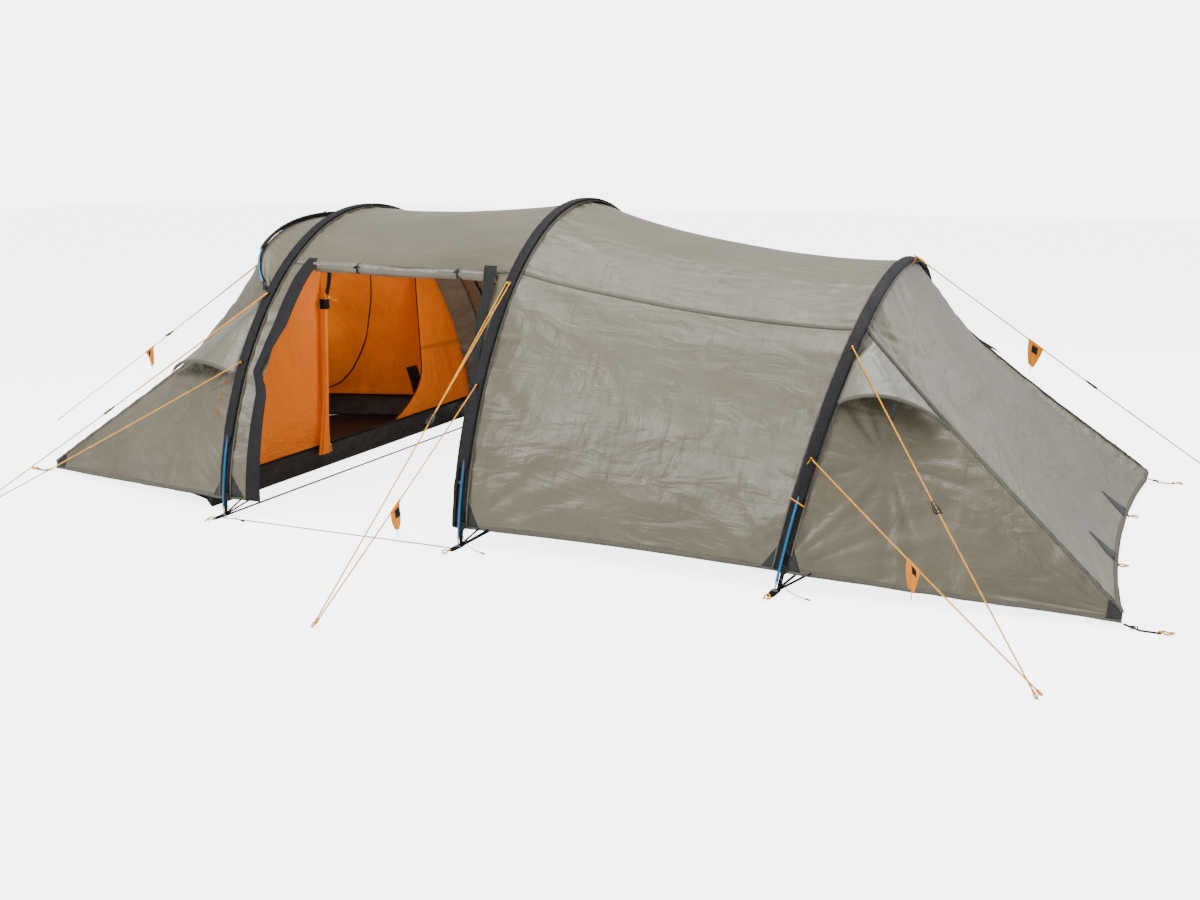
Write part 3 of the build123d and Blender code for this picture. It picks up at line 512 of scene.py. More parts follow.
def finer(points):
    """The grid with a smooth midpoint row and column put between every two."""
    for axis in (0, 1):
        p = np.moveaxis(points, axis, 0)
        before, after = np.concatenate([p[:1], p[:-2]]), np.concatenate([p[2:], p[-1:]])
        out = np.zeros((2 * len(p) - 1,) + p.shape[1:])
        out[::2], out[1::2] = p, (9 * (p[:-1] + p[1:]) - (before + after)) / 16
        points = np.moveaxis(out, 0, axis)
    return points


def wrinkle(points, anchors, seed, fine=0.0035, slant=0.0):
    """The grid with tension folds fanning out of its anchors and finer creases along it, held at its edges.

    An anchor is (row share, column share, folds per turn, reach, depth)."""
    rows, cols = points.shape[:2]
    x, y = np.zeros((2, rows, cols))
    x[:, 1:] = np.cumsum(np.linalg.norm(np.diff(points, axis=1), axis=2), axis=1)
    y[1:, :] = np.cumsum(np.linalg.norm(np.diff(points, axis=0), axis=2), axis=0)
    edge = np.minimum(np.minimum(x, x[:, -1:] - x), np.minimum(y, y[-1:, :] - y) * 2.0)
    fade = np.clip(edge / 0.05, 0, 1) ** 1.2
    shift = np.zeros((rows, cols))
    for number, (r, c, folds, reach, depth) in enumerate(anchors):
        i, j = round(r * (rows - 1)), round(c * (cols - 1))
        away, turn = np.hypot(x - x[i, j], y - y[i, j]), np.arctan2(y - y[i, j], x - x[i, j])
        for k in np.ndindex(rows, cols):
            bend = wave(turn[k] * 2.5, away[k] * 1.1, seed + number)
            share = min(1.0, away[k] / 0.14) * math.exp(-((away[k] / reach) ** 2))
            shift[k] += depth * share * math.sin(folds * turn[k] + 3.2 * bend) * (0.7 + bend)
    for k in np.ndindex(rows, cols):
        along, up = x[k] + slant * y[k], y[k] - slant * x[k]
        shift[k] += fine * wave(along * 2.2, up * 9.0, seed + 9, 2)
        shift[k] += 1.6 * fine * wave(along * 1.3, up * 3.5, seed + 11, 2)
    return points + normals_of(points) * (shift * fade)[..., None]


# ---------------- flysheet between the hoops

INSET = 0.011
CLOTH = 0.0014
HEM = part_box("rear_tunnel_near_side")[0].z
DOOR_SEAM_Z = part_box("front_tunnel_near_side")[1].z
MIDDLE_SEAM_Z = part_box("rear_tunnel_near_side")[1].z
TAIL_SEAM_Z = 0.965
DOOR_LEFT, DOOR_RIGHT, DOOR_TOP = -1.125, -0.085, 1.118
SIDE_ROWS, ROOF_ROWS = 34, 40
NEAR_SIDE = (0, -1, 0.3)


def bay_share(x):
    """How far a place is from the front hoop's foot to the middle hoop's foot."""
    return (x - FRONT.x) / (MIDDLE.x - FRONT.x)


def row_angles(hoop, seam_z, door_top=None):
    """Angles of the rows of a tunnel sheet: near side up to its seam, roof, far side."""
    seam = angle_at(hoop, seam_z)
    near = steps(angle_at(hoop, HEM), seam, SIDE_ROWS)
    if door_top:
        level = angle_at(hoop, door_top)
        near[int(np.argmin([abs(a - level) for a in near[1:-1]])) + 1] = level
    return near + steps(seam, PI - seam, ROOF_ROWS)[1:-1] + [PI - a for a in reversed(near)]


def tunnel(first, second, seams, columns, sag, seed, door_top=None):
    """The whole sheet over one tunnel bay, rows from the near hem over the roof to the far hem."""
    a1, a2 = row_angles(first, seams[0], door_top), row_angles(second, seams[1], door_top)
    ends = [(arch(first, p, INSET), arch(second, q, INSET)) for p, q in zip(a1, a2)]
    points = np.array([[(1 - t) * p + t * q for t in columns] for p, q in ends])
    out = normals_of(points)
    for i, (row, angle) in enumerate(zip(points, a1)):
        hem = max(0.0, 1 - (float(row[:, 2].mean()) - HEM) / 0.25)
        crown = max(0.0, math.sin(angle)) ** 2
        around = (angle - PI / 2) * 1.35
        for j, t in enumerate(columns):
            span = np.linalg.norm(row[-1] - row[0])
            hollow = hump(t) ** 0.85
            skew = t * span + 0.55 * around
            pull = 0.0055 * wave(skew * 0.9, (around - 0.35 * t * span) * 3.4, seed) * hollow
            near_hoop = min(t, 1 - t) * span
            gather = 0.0016 * math.sin(around * 95 + 4 * wave(around * 4, 0, seed))
            gather *= math.exp(-near_hoop / 0.09) * min(1.0, near_hoop / 0.015)
            depth = hollow * (sag[0] + (sag[1] - sag[0]) * crown)
            points[i, j] -= out[i, j] * (depth - pull - gather)
            points[i, j, 2] += hem * 0.012 * hollow
    return points


EDGES = {"left": np.s_[:, 0], "right": np.s_[:, -1], "low": np.s_[0, :], "high": np.s_[-1, :]}


def held(points, *edges):
    """Pin weights of a grid that is held along these edges."""
    pins = np.zeros(points.shape[:2])
    for edge in edges:
        pins[EDGES[edge]] = HELD
    return pins


def taut(sheet, grow):
    """A tunnel sheet after draping, held by its hoops and lightly by its hems."""
    pins = held(sheet, "left", "right")
    pins[[0, -1], 1:-1] = HUNG
    return finer(drape(sheet, pins, grow))


door_edges = [bay_share(DOOR_LEFT), bay_share(DOOR_RIGHT)]
front_columns = sorted({*steps(0, 1, 36), *door_edges})
front_sheet = tunnel(FRONT, MIDDLE, (DOOR_SEAM_Z, DOOR_SEAM_Z), front_columns, (0.022, 0.026), 3.1, DOOR_TOP)
rear_sheet = tunnel(MIDDLE, REAR, (MIDDLE_SEAM_Z, TAIL_SEAM_Z), steps(0, 1, 44), (0.042, 0.055), 8.7)
left_column, right_column = [2 * front_columns.index(share) for share in door_edges]
door_row = 2 * int(np.argmin(np.abs(front_sheet[:SIDE_ROWS, 0, 2] - DOOR_TOP)))
front_sheet, rear_sheet = taut(front_sheet, 0.006), taut(rear_sheet, 0.010)
seam_row, far_row = 2 * (SIDE_ROWS - 1), 2 * (SIDE_ROWS + ROOF_ROWS - 2)
near, roof, far = slice(0, seam_row + 1), slice(seam_row, far_row + 1), slice(far_row, None)

# Low down, the door's right edge runs close beside the middle hoop, so the columns there are drawn together.
last = front_sheet.shape[1] - 1
for i in range(door_row):
    lead = 0.40 + 0.60 * min(1.0, max(0.0, (front_sheet[i, -1, 2] - 0.70) / 0.28))
    row = front_sheet[i].copy()
    for j in range(right_column, last + 1):
        spot = last - (last - j) * lead
        k = min(int(spot), last - 1)
        front_sheet[i, j] = row[k] + (spot - k) * (row[k + 1] - row[k])

HOOP_FEET = [(0.0, 0.0, 17, 0.55, 0.0050), (0.0, 1.0, 17, 0.50, 0.0045), (1.0, 0.0, 15, 0.45, 0.0030)]
ROOF_FOLDS = [(0.02, 0.0, 13, 0.4, 0.0025), (0.02, 1.0, 13, 0.4, 0.0025)]


def in_door(i, j):
    return i < door_row and left_column <= j < right_column


def show_fly(name, sheet, node, skip=None):
    Build().grid(sheet, skip=skip).show(name, FLY, node, CLOTH)


for name, sheet, seed, skip in (("front", front_sheet, 31.0, in_door), ("rear", rear_sheet, 35.0, None)):
    sheet[near] = wrinkle(sheet[near], HOOP_FEET, seed)
    sheet[far] = wrinkle(sheet[far][::-1], HOOP_FEET, seed + 2)[::-1]
    sheet[roof] = wrinkle(sheet[roof], ROOF_FOLDS, seed + 4, 0.0016)
    show_fly(f"{name}_near_side_cloth", sheet[near], f"{name}_tunnel_near_side", skip)
    show_fly(f"{name}_roof_cloth", sheet[roof], f"{name}_tunnel_roof")
    show_fly(f"{name}_far_side_cloth", sheet[far], f"{name}_tunnel_far_side")

# ---------------- apses

CORNER_LOW, CORNER_HIGH = 0.028, 0.058
HEM_BOW = 0.060
CLEAR = 0.0015
BROW_START = 0.08
rear_end_box, front_end_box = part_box("rear_end_panel"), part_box("front_end_panel")
REAR_CORNER = (rear_end_box[1].x - 0.002, rear_end_box[1].y + 0.006)
FRONT_CORNER = (front_end_box[0].x + 0.002, front_end_box[1].y + 0.006)
REAR_SEAM = angle_at(REAR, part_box("rear_apse_near_side")[1].z)
CLIP_ANGLE = angle_at(FRONT, BROW.base)
REAR_BOW, FRONT_BOW = 0.060, 0.045


def seam_bow(bow, share):
    """How far the tension of the cloth draws a seam inwards from its straight line."""
    return vec(0.0, 0.62, -0.78) * bow * 3.0 * share * (1 - share) ** 1.6


def seam_curve(start, corner, bow, share):
    """The seam from an arch down to a ground corner."""
    return start + share * (vec(corner[0], -corner[1], CORNER_HIGH) - start) + seam_bow(bow, share)


def apse_side(hoop, top_angle, corner, bow, sag, seed):
    """The near side of an apse, rows from the hem up to the seam, columns from the hoop to the corner."""
    x, y = corner
    hem, outward = angle_at(hoop, HEM), math.copysign(CLEAR, x)

    def flat(r, c):
        start = arch(hoop, hem + r * (top_angle - hem), INSET, outward)
        end = vec(x, -y + 0.006 * r, CORNER_LOW + (CORNER_HIGH - CORNER_LOW) * r)
        return start + c * (end - start) + (seam_bow(bow, c) * r**1.5 if r > 0 else 0)

    rows, columns = 40, 44
    points = surface(flat, rows, columns)
    out = sheet_normals(points, -Y)
    for k in np.ndindex(rows, columns):
        r, c = k[0] / (rows - 1), k[1] / (columns - 1)
        inner = hump(r) ** 0.7 * hump(c) ** 0.7
        points[k] += out[k] * (0.012 * wave(c * 5.5 + 0.8 * r, r * 1.3, seed) * inner - sag * inner)
        points[k][1] += 0.010 * (1 - r) ** 2 * hump(c) * wave(c * 7, 0, seed + 2)
    return points


def slope(hoop, start, corner, bow, sag, seed, side_start):
    """The sloping end of an apse, rows from the arch down to the bowed hem, columns from near to far."""
    x, y = corner
    outward = math.copysign(1, x)

    def flat(c, u):
        top = arch(hoop, start + u * (PI - 2 * start), INSET, outward * CLEAR)
        lift = CORNER_LOW + (CORNER_HIGH - CORNER_LOW) * max(0.0, (abs(2 * u - 1) - 0.93) / 0.07)
        foot = vec(x - outward * HEM_BOW * (1 - (2 * u - 1) ** 2), -y + 2 * y * u, lift)
        return top + c * (foot - top)

    rows, columns = 44, 56
    points = surface(flat, rows, columns)
    gap = np.array([seam_curve(side_start, corner, bow, c) for c in steps(0, 1, rows)]) - points[:, 0]
    for j, u in enumerate(steps(0, 1, columns)):
        points[:, j] += gap * (1 - u) ** 5 + gap * vec(1, -1, 1) * u**5
    out = sheet_normals(points, outward * X)
    for k in np.ndindex(rows, columns):
        c, u = k[0] / (rows - 1), k[1] / (columns - 1)
        inner = hump(u) ** 0.8 * hump(c) ** 0.7
        points[k] += out[k] * (0.008 * wave(u * 4.5 + 0.6 * c, c * 2.2 + u, seed) * inner - sag * inner)
    return points


rear_top = arch(REAR, REAR_SEAM, INSET, CLEAR)
front_top = arch(FRONT, CLIP_ANGLE, INSET, -CLEAR)
rear_side = apse_side(REAR, REAR_SEAM, REAR_CORNER, REAR_BOW, 0.030, 12.4)
front_side = apse_side(FRONT, CLIP_ANGLE, FRONT_CORNER, FRONT_BOW, 0.010, 17.9)
rear_slope = slope(REAR, REAR_SEAM, REAR_CORNER, REAR_BOW, 0.035, 21.3, rear_top)
front_slope = slope(BROW, BROW_START, FRONT_CORNER, FRONT_BOW, 0.035, 25.8, front_top)

SIDE_FOLDS = [(0.0, 0.0, 19, 0.60, 0.0060), (0.62, 0.22, 15, 0.55, 0.0060), (0.5, 1.0, 40, 0.60, 0.0030)]
END_FOLDS = [(0.0, 0.0, 17, 0.50, 0.0040), (0.0, 1.0, 17, 0.50, 0.0040), (1.0, 0.0, 21, 0.60, 0.0040),
             (1.0, 1.0, 21, 0.60, 0.0040)]


def drape_side(sheet, seed):
    sheet = drape(sheet, held(sheet, "left", "right", "high"), 0.014)
    return wrinkle(finer(sheet), SIDE_FOLDS, seed, 0.0040, 0.5)


def drape_slope(sheet, seed):
    pins = held(sheet, "left", "right", "low")
    pins[-1, ::9] = TACKED
    return wrinkle(finer(drape(sheet, pins, 0.008)), END_FOLDS, seed, 0.0028, 0.6)


rear_side, front_side = drape_side(rear_side, 41.0), drape_side(front_side, 43.0)
rear_slope, front_slope = drape_slope(rear_slope, 45.0), drape_slope(front_slope, 47.0)
for name, side, end in (("rear", rear_side, rear_slope), ("front", front_side, front_slope)):
    show_fly(f"{name}_apse_near_cloth", side, f"{name}_apse_near_side")
    show_fly(f"{name}_apse_far_cloth", mirrored(side), f"{name}_apse_far_side")
    show_fly(f"{name}_end_cloth", end, f"{name}_end_panel")


def brow_point(s, t):
    first = arch(BROW, BROW_START + s * (PI - 2 * BROW_START), INSET, CLEAR)
    return (1 - t) * first + t * arch(FRONT, CLIP_ANGLE + s * (PI - 2 * CLIP_ANGLE), INSET, -0.002)


brow_rows, brow_columns = 40, 14
brow_cap = surface(brow_point, brow_rows, brow_columns)
cap_out = normals_of(brow_cap)
for i, j in np.ndindex(brow_rows, brow_columns):
    t = j / (brow_columns - 1)
    brow_cap[i, j] -= cap_out[i, j] * hump(t) * (0.012 - 0.004 * wave(i * 0.18, t * 2, 5.5))
show_fly("brow_cloth", brow_cap, "brow_roof")

# ---------------- pole sleeves

SLEEVE_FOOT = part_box("middle_pole_sleeve")[0].z + 0.004
SLEEVE_HALF, SLEEVE_CROWN = 0.024, 0.0085


def hoop_frame(hoop, angle, inset=0.0):
    """A point of a hoop with its outward direction and the direction along the tent."""
    ahead = unit(arch(hoop, angle + 1e-3) - arch(hoop, angle - 1e-3))
    side = vec(math.cos(hoop.lean), 0, -math.sin(hoop.lean))
    out = unit(np.cross(side, ahead))
    return arch(hoop, angle, inset), -out if out[1] * math.cos(angle) > 0 else out, side


def sleeve_profile():
    """The sleeve's outline across the hoop: a tunnel round the pole with a flat flange each way."""
    for a in turns_of(28):
        x = SLEEVE_HALF * math.copysign(abs(math.cos(a)) ** 0.75, math.cos(a))
        z = SLEEVE_CROWN * math.copysign(abs(math.sin(a)) ** 1.15, math.sin(a))
        yield x, z + (0.0018 * math.cos(a * 2) if z > 0 else 0)


def sleeve(hoop, start, body, seed):
    rings, count = [], 180
    for i, a in enumerate(steps(start, PI - start, count)):
        centre, _, side = hoop_frame(hoop, a)
        up = unit(np.cross(unit(arch(hoop, a + 1e-3) - arch(hoop, a - 1e-3)), side))
        if up @ (centre - vec(hoop.x, 0, 0.3)) < 0:
            up = -up
        end = min(i, count - 1 - i)
        close = 1.0 if end > 3 else 0.55 + 0.15 * end
        pucker = 1 + 0.045 * wave(i * 0.31, 0, seed) + 0.02 * math.sin(i * 1.9 + 2 * wave(i * 0.1, 1, seed))
        ring = []
        for x, z in sleeve_profile():
            gather = 0.0010 * math.sin(i * 2.6 + x * 160) * (abs(x) / SLEEVE_HALF)
            ring.append(centre + side * x * pucker * close + up * (z * pucker * close + gather))
        rings.append(ring)
    cloth = Build().grid(rings, closed=True)
    cloth.show(f"{hoop.name}_sleeve_cloth", SLEEVE, f"{hoop.name}_pole_sleeve", 0.0, body, None)


for number, hoop in enumerate(HOOPS):
    sleeve(hoop, angle_at(hoop, SLEEVE_FOOT), f"{hoop.name}_hoop", 31.0 + number)
sleeve(BROW, 0.6, "brow", 37.0)

# ---------------- bands under the sleeves, patches and seams


def hoop_strip(build, hoop, angles, width, thickness, lift=0.0, inset=INSET, along=0.0):
    """A tape that follows a hoop, moved along the tent."""
    points, outs, sides = map(np.array, zip(*(hoop_frame(hoop, a, inset) for a in angles)))
    build.strip(points + sides * along, outs, width, thickness, lift)


bands, bindings = Build(), Build()
for hoop in HOOPS:
    low, high = angle_at(hoop, HEM - 0.004), angle_at(hoop, SLEEVE_FOOT + 0.03)
    foot_angles = steps(low, high, 16)
    hoop_strip(bands, hoop, foot_angles, 0.056, 0.0012, 0.0006)
    hoop_strip(bands, hoop, [PI - a for a in foot_angles], 0.056, 0.0012, 0.0006)
    for along in (-0.030, 0.030):
        hoop_strip(bindings, hoop, steps(low, PI - low, 150), 0.006, 0.0014, 0.0008, along=along)
    hoop_strip(bands, hoop, steps(high, PI - high, 130), 0.046, 0.0056, inset=0.0105)
hoop_strip(bands, BROW, steps(BROW_START, PI - BROW_START, 90), 0.020, 0.0050, inset=0.0095)
bands.show("pole_foot_bands", SLEEVE)
bindings.show("hoop_bindings", TAPE)


def patch(build, sheet, normals, corners, lift=0.002, count=9):
    """A reinforcement cut from four (row, column) shares of a sheet and laid on its outside."""
    a, b, c, d = [np.array(p) for p in corners]

    def point(s, t):
        u, v = (1 - s) * ((1 - t) * a + t * b) + s * ((1 - t) * d + t * c)
        return on_sheet(sheet, u, v) + lift * unit(on_sheet(normals, u, v))

    build.grid(surface(point, count, count))


def both_sides(sheet, near_out=NEAR_SIDE):
    """A near side sheet and its mirror image, each with its outward direction."""
    return (sheet, near_out), (sheet * vec(1, -1, 1), (0, 1, near_out[2]))


gussets = Build()
front_near, rear_near = front_sheet[near], rear_sheet[near]
for sheet, start, reach in (
    (front_near, 0.0, 0.075), (front_near, 1.0, -0.075), (rear_near, 0.0, 0.06), (rear_near, 1.0, -0.06),
    (front_side, 0.0, 0.065), (rear_side, 0.0, 0.065),
):
    inner, edge = start + math.copysign(0.022, reach), min(start, 0.9995)
    for grid, out in both_sides(sheet):
        corners = [(0.0, edge), (0.0, start + reach), (0.11, inner), (0.13, edge)]
        patch(gussets, grid, sheet_normals(grid, out), corners)
for side in (front_side, rear_side):
    corners = [(0.0, 0.955), (0.0, 0.999), (1.0, 0.999), (0.95, 0.955)]
    for grid, out in both_sides(side):
        patch(gussets, grid, sheet_normals(grid, out), corners)
for grid, facing in ((rear_slope, (1, 0, 0.4)), (front_slope, (-1, 0, 0.4))):
    for u in (0.34, 0.66):
        corners = [(0.999, u - 0.030), (0.999, u + 0.030), (0.90, u + 0.003), (0.90, u - 0.003)]
        patch(gussets, grid, sheet_normals(grid, facing), corners)
gussets.show("corner_gussets", PATCH, thickness=0.0008)

HEM_WIDTH, SEAM_WIDTH, APSE_SEAM_WIDTH = 0.022, 0.014, 0.016
seams = Build()


def edge_tape(sheet, row, outside, width, columns=slice(None)):
    seams.strip(sheet[row, columns], sheet_normals(sheet, outside)[row, columns], width, 0.0008, 0.0012)


side_out, far_out = (0, -1, 0.4), (0, 1, 0.4)
front_far, rear_far = front_sheet[far], rear_sheet[far]
for sheet, out, low in ((rear_near, side_out, 0), (rear_far, far_out, -1), (front_far, far_out, -1)):
    edge_tape(sheet, low, out, HEM_WIDTH)
    edge_tape(sheet, -1 - low, out, SEAM_WIDTH)
for columns in (slice(left_column + 1), slice(right_column, None)):
    edge_tape(front_near, 0, side_out, HEM_WIDTH, columns)
edge_tape(front_near, -1, side_out, SEAM_WIDTH)
for side in (front_side, rear_side):
    for grid, out in both_sides(side, side_out):
        edge_tape(grid, 0, out, HEM_WIDTH)
        edge_tape(grid, -1, out, APSE_SEAM_WIDTH)
edge_tape(rear_slope, -1, (1, 0, 0.4), HEM_WIDTH)
edge_tape(front_slope, -1, (-1, 0, 0.4), HEM_WIDTH)
seams.show("seam_tapes", TAPE)

# ---------------- vent hoods

Vent = namedtuple("Vent", "name hoop corner seam_z top low share push bow")
VENTS = (
    Vent("rear", REAR, REAR_CORNER, float(rear_top[2]), 0.850, 0.700, 0.355, 0.050, REAR_BOW),
    Vent("front", FRONT, FRONT_CORNER, float(front_top[2]), 0.930, 0.630, 0.42, 0.045, FRONT_BOW),
)
HOOD_ROWS, HOOD_COLUMNS = 22, 46


def vent_corners(vent):
    """The vent's outward direction and its four corners: top at the hoop, top at the seam, low at each."""
    ground = vec(vent.corner[0], -vent.corner[1], CORNER_HIGH)
    a, b = [arch(vent.hoop, angle_at(vent.hoop, z), INSET) for z in (vent.low, vent.top)]
    n = unit(np.cross(b - a, ground - a))
    n = n if n[1] < 0 else -n

    def spot(height, share, off):
        start = arch(vent.hoop, angle_at(vent.hoop, height), INSET, math.copysign(0.030, vent.corner[0]))
        return start + share * (ground - start) + off * n

    return n, (spot(vent.top, 0.0, 0.004), spot(vent.seam_z - 0.02, 0.03, 0.004),
               spot(vent.low, 0.0, 0.006), spot(vent.seam_z - 0.03, vent.share, 0.004))


def open_hood(vent, n, corners):
    """The hood pushed out by its prop, rows from its seam to its free edge."""
    top_a, top_b, low_a, low_b = corners
    middle = (low_a + low_b) / 2
    crest = middle + (vent.push + 0.003) * n + 0.034 * Z

    def point(s, u):
        lifted = math.sin(PI * u**0.90) ** 0.80
        start = top_a + u * (top_b - top_a)
        edge = low_a + u * (low_b - low_a) + lifted * (crest - middle)
        ripple = 0.0045 * wave(u * 5 + s, s * 2.0, 41.0) * math.sin(PI * s)
        out = 0.012 * math.sin(PI * s) * lifted + ripple + 0.010 * s**6 * lifted
        return start + s * (edge - start) + n * out + seam_bow(vent.bow, vent.share * s) * 0.6 * u**4

    return surface(point, HOOD_ROWS, HOOD_COLUMNS)


def closed_hood(vent):
    """The hood lying on the cloth of the rear apse."""
    facing, hem = sheet_normals(rear_side, NEAR_SIDE), angle_at(vent.hoop, HEM)
    high, low = [(angle_at(vent.hoop, z) - hem) / (REAR_SEAM - hem) for z in (vent.top, vent.low)]

    def point(s, u):
        r = high + (0.975 - high) * u + s * (1 - u) * (low - high)
        c = u * (0.03 + s * (vent.share - 0.03))
        lift = 0.005 + 0.006 * math.sin(PI * u) * s
        return on_sheet(rear_side, r, c) + lift * unit(on_sheet(facing, r, c))

    return surface(point, HOOD_ROWS, HOOD_COLUMNS)


def vent_netting(n, corners):
    """The mesh panel behind a hood."""
    top_a, top_b, low_a, low_b = corners

    def point(s, u):
        a, b = low_a + u * (low_b - low_a), top_a + u * (top_b - top_a)
        return a + (0.42 + 0.30 * s) * (b - a) * (0.3 + 0.7 * math.sin(PI * u)) - n * 0.002

    return surface(point, 10, 20)


for vent in VENTS:
    n, corners = vent_corners(vent)
    hood, netting = open_hood(vent, n, corners), vent_netting(n, corners)
    far_hood = closed_hood(vent) if vent.name == "rear" else hood
    for side, grid, flip in (("near", hood, X + Y + Z), ("far", far_hood, X - Y + Z)):
        name, grid, out = f"{vent.name}_{side}", grid * flip, n * flip
        trim = Build().strip(grid[-1], out, 0.016, 0.0022, -0.001)
        trim.strip(grid[:, 0], out, 0.010, 0.0012, 0.0004)
        body, cloth = f"{name}_vent", Build().grid(grid)
        cloth = cloth.show(f"{name}_hood_cloth", HOOD, f"{name}_vent_hood", 0.0012, body, None)
        rim = trim.show(f"{name}_hood_rim", TAPE, body=body, keep=None)
        for obj in (cloth, rim):
            list(out)
            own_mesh(obj)
        Build().grid(netting * flip).show(f"{name}_vent_netting", MESH, thickness=0.0008)

# ---------------- guy lines, runners and flags


def islands(node):
    """The separate solids of a CAD node, as arrays of points."""
    mesh = frame["nodes"][node].data
    index = {}
    keys = [index.setdefault(tuple(round(c, 5) for c in v.co), len(index)) for v in mesh.vertices]
    parent = list(range(len(index)))

    def root(a):
        while parent[a] != a:
            parent[a] = parent[parent[a]]
            a = parent[a]
        return a

    for e in mesh.edges:
        a, b = root(keys[e.vertices[0]]), root(keys[e.vertices[1]])
        parent[a] = b
    groups = {}
    for point, k in index.items():
        groups.setdefault(root(k), []).append(point)
    return [np.array(g) for g in groups.values()]


def ends_of(points):
    """The two end centres of a long thin solid, the higher one first."""
    centre = points.mean(axis=0)
    axis = np.linalg.svd(points - centre, full_matrices=False)[2][0]
    along = (points - centre) @ axis
    a = points[along > along.max() - 0.004].mean(axis=0)
    b = points[along < along.min() + 0.004].mean(axis=0)
    return (a, b) if a[2] > b[2] else (b, a)


LINE_SAG, CORD_RADIUS = 0.006, 0.0028
FORK_HALF, LOCK_REACH = 0.009, 0.012
CORDS = [ends_of(p) for p in islands("guy_cords")]
RUNNERS = [f"{r}_guy_runner" for r in ("rear", "middle", "front", "tail", "nose")]
near_spots = {node: np.array(sum(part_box(node), Vector()) / 2) for node in RUNNERS}
far_spots = [p.mean(axis=0) for p in islands("far_guy_runners")]


def share_on(line, spot):
    a, b = line
    return float((spot - a) @ (b - a) / ((b - a) @ (b - a)))


def gap_to(line, spot):
    return np.linalg.norm(line[0] + share_on(line, spot) * (line[1] - line[0]) - spot)


def line_of(spot):
    """The guy line that passes nearest to a spot."""
    return min(CORDS, key=lambda line: gap_to(line, spot))


def runner_on(line):
    """The share along a cord at which a runner sits on it, or None."""
    for spot in [*near_spots.values(), *far_spots]:
        if 0 < share_on(line, spot) < 1 and gap_to(line, spot) < LOCK_REACH:
            return share_on(line, spot)
    return None


def line_axes(line):
    """Directions along a guy line, across it and at right angles to both."""
    along = unit(line[1] - line[0])
    across = unit(np.cross(along, Z))
    return along, across, np.cross(along, across)


lines, knots, tabs = Build(), Build(), Build()
for a, b in CORDS:
    t = runner_on((a, b))
    along, across, down = line_axes((a, b))
    down = down if down[2] < 0 else -down

    def sagged(s, spread=0.0):
        return a + s * (b - a) + across * spread - Z * LINE_SAG * hump(s)

    if t and a[0] < 0.5:
        for sign in (-1, 1):
            lines.tube([sagged(s, sign * FORK_HALF * (1 - s / t)) for s in steps(0, t, 40)], CORD_RADIUS, 7)
        lines.tube([sagged(s) for s in steps(t, 1, 30)], CORD_RADIUS, 7)
    else:
        lines.tube([sagged(s) for s in steps(0, 1, 60)], CORD_RADIUS, 7)
    knot = [0.002, 0.0042, 0.005, 0.0046, 0.005, 0.004, 0.002]
    for s in (0.004, 1 - 0.018):
        knots.tube([sagged(s + k * 0.0012) for k in range(-3, 4)], knot)
    knots.loop(b - along * 0.012, (0.012, 0.007), (along, across), 0.0017, 20)
    tail = [sagged(0.004) + across * 0.004 * k + down * (0.002 + 0.006 * k**1.3) for k in range(7)]
    knots.tube(tail, 0.0016)
    inward = unit(-a[1] * Y - along[0] * 0.3 * X) if abs(a[1]) > 0.1 else unit(-along)
    tabs.strip([a + inward * 0.012, a, a + along * 0.010, a + along * 0.016], -down, 0.013, 0.0022, -0.001)
lines.show("guy_line_cords", CORD, "guy_cords")
knots.show("guy_line_knots", CORD)
tabs.show("guy_anchor_tabs", WEB)


def line_lock(spot):
    """A triangular line lock: a rounded frame with bars across it, threaded on its cord."""
    line = line_of(spot)
    along, across, thick = line_axes(line)
    spot = spot - Z * LINE_SAG * hump(share_on(line, spot))
    half = [(-0.027, 0.004), (0.020, 0.0145), (0.027, 0.010)]
    outline = [(-0.027, -0.004)] + half + [(x, -y) for x, y in half[:0:-1]]
    corners = [spot + along * x + across * y for x, y in outline]
    path = [p + (q - p) * s for p, q in zip(corners, corners[1:] + corners[:1]) for s in (0.0, 0.33, 0.66)]
    build = Build().tube(path + path[:1], 0.0036, 10, cap=False)
    for x, reach in ((0.010, 0.011), (-0.008, 0.008)):
        build.tube([spot + along * x + across * reach * s for s in steps(-1, 1, 5)], 0.0030, 10)
    return build.box(spot + along * 0.001, (along, across, thick), (0.040, 0.010, 0.0035))


for node, spot in near_spots.items():
    line_lock(spot).show(f"{node}_lock", PLASTIC, node, body=node.replace("guy_", ""))
far_locks = Build()
for spot in far_spots:
    far_locks.add(line_lock(spot))
far_locks.show("far_guy_runner_locks", PLASTIC, "far_guy_runners")

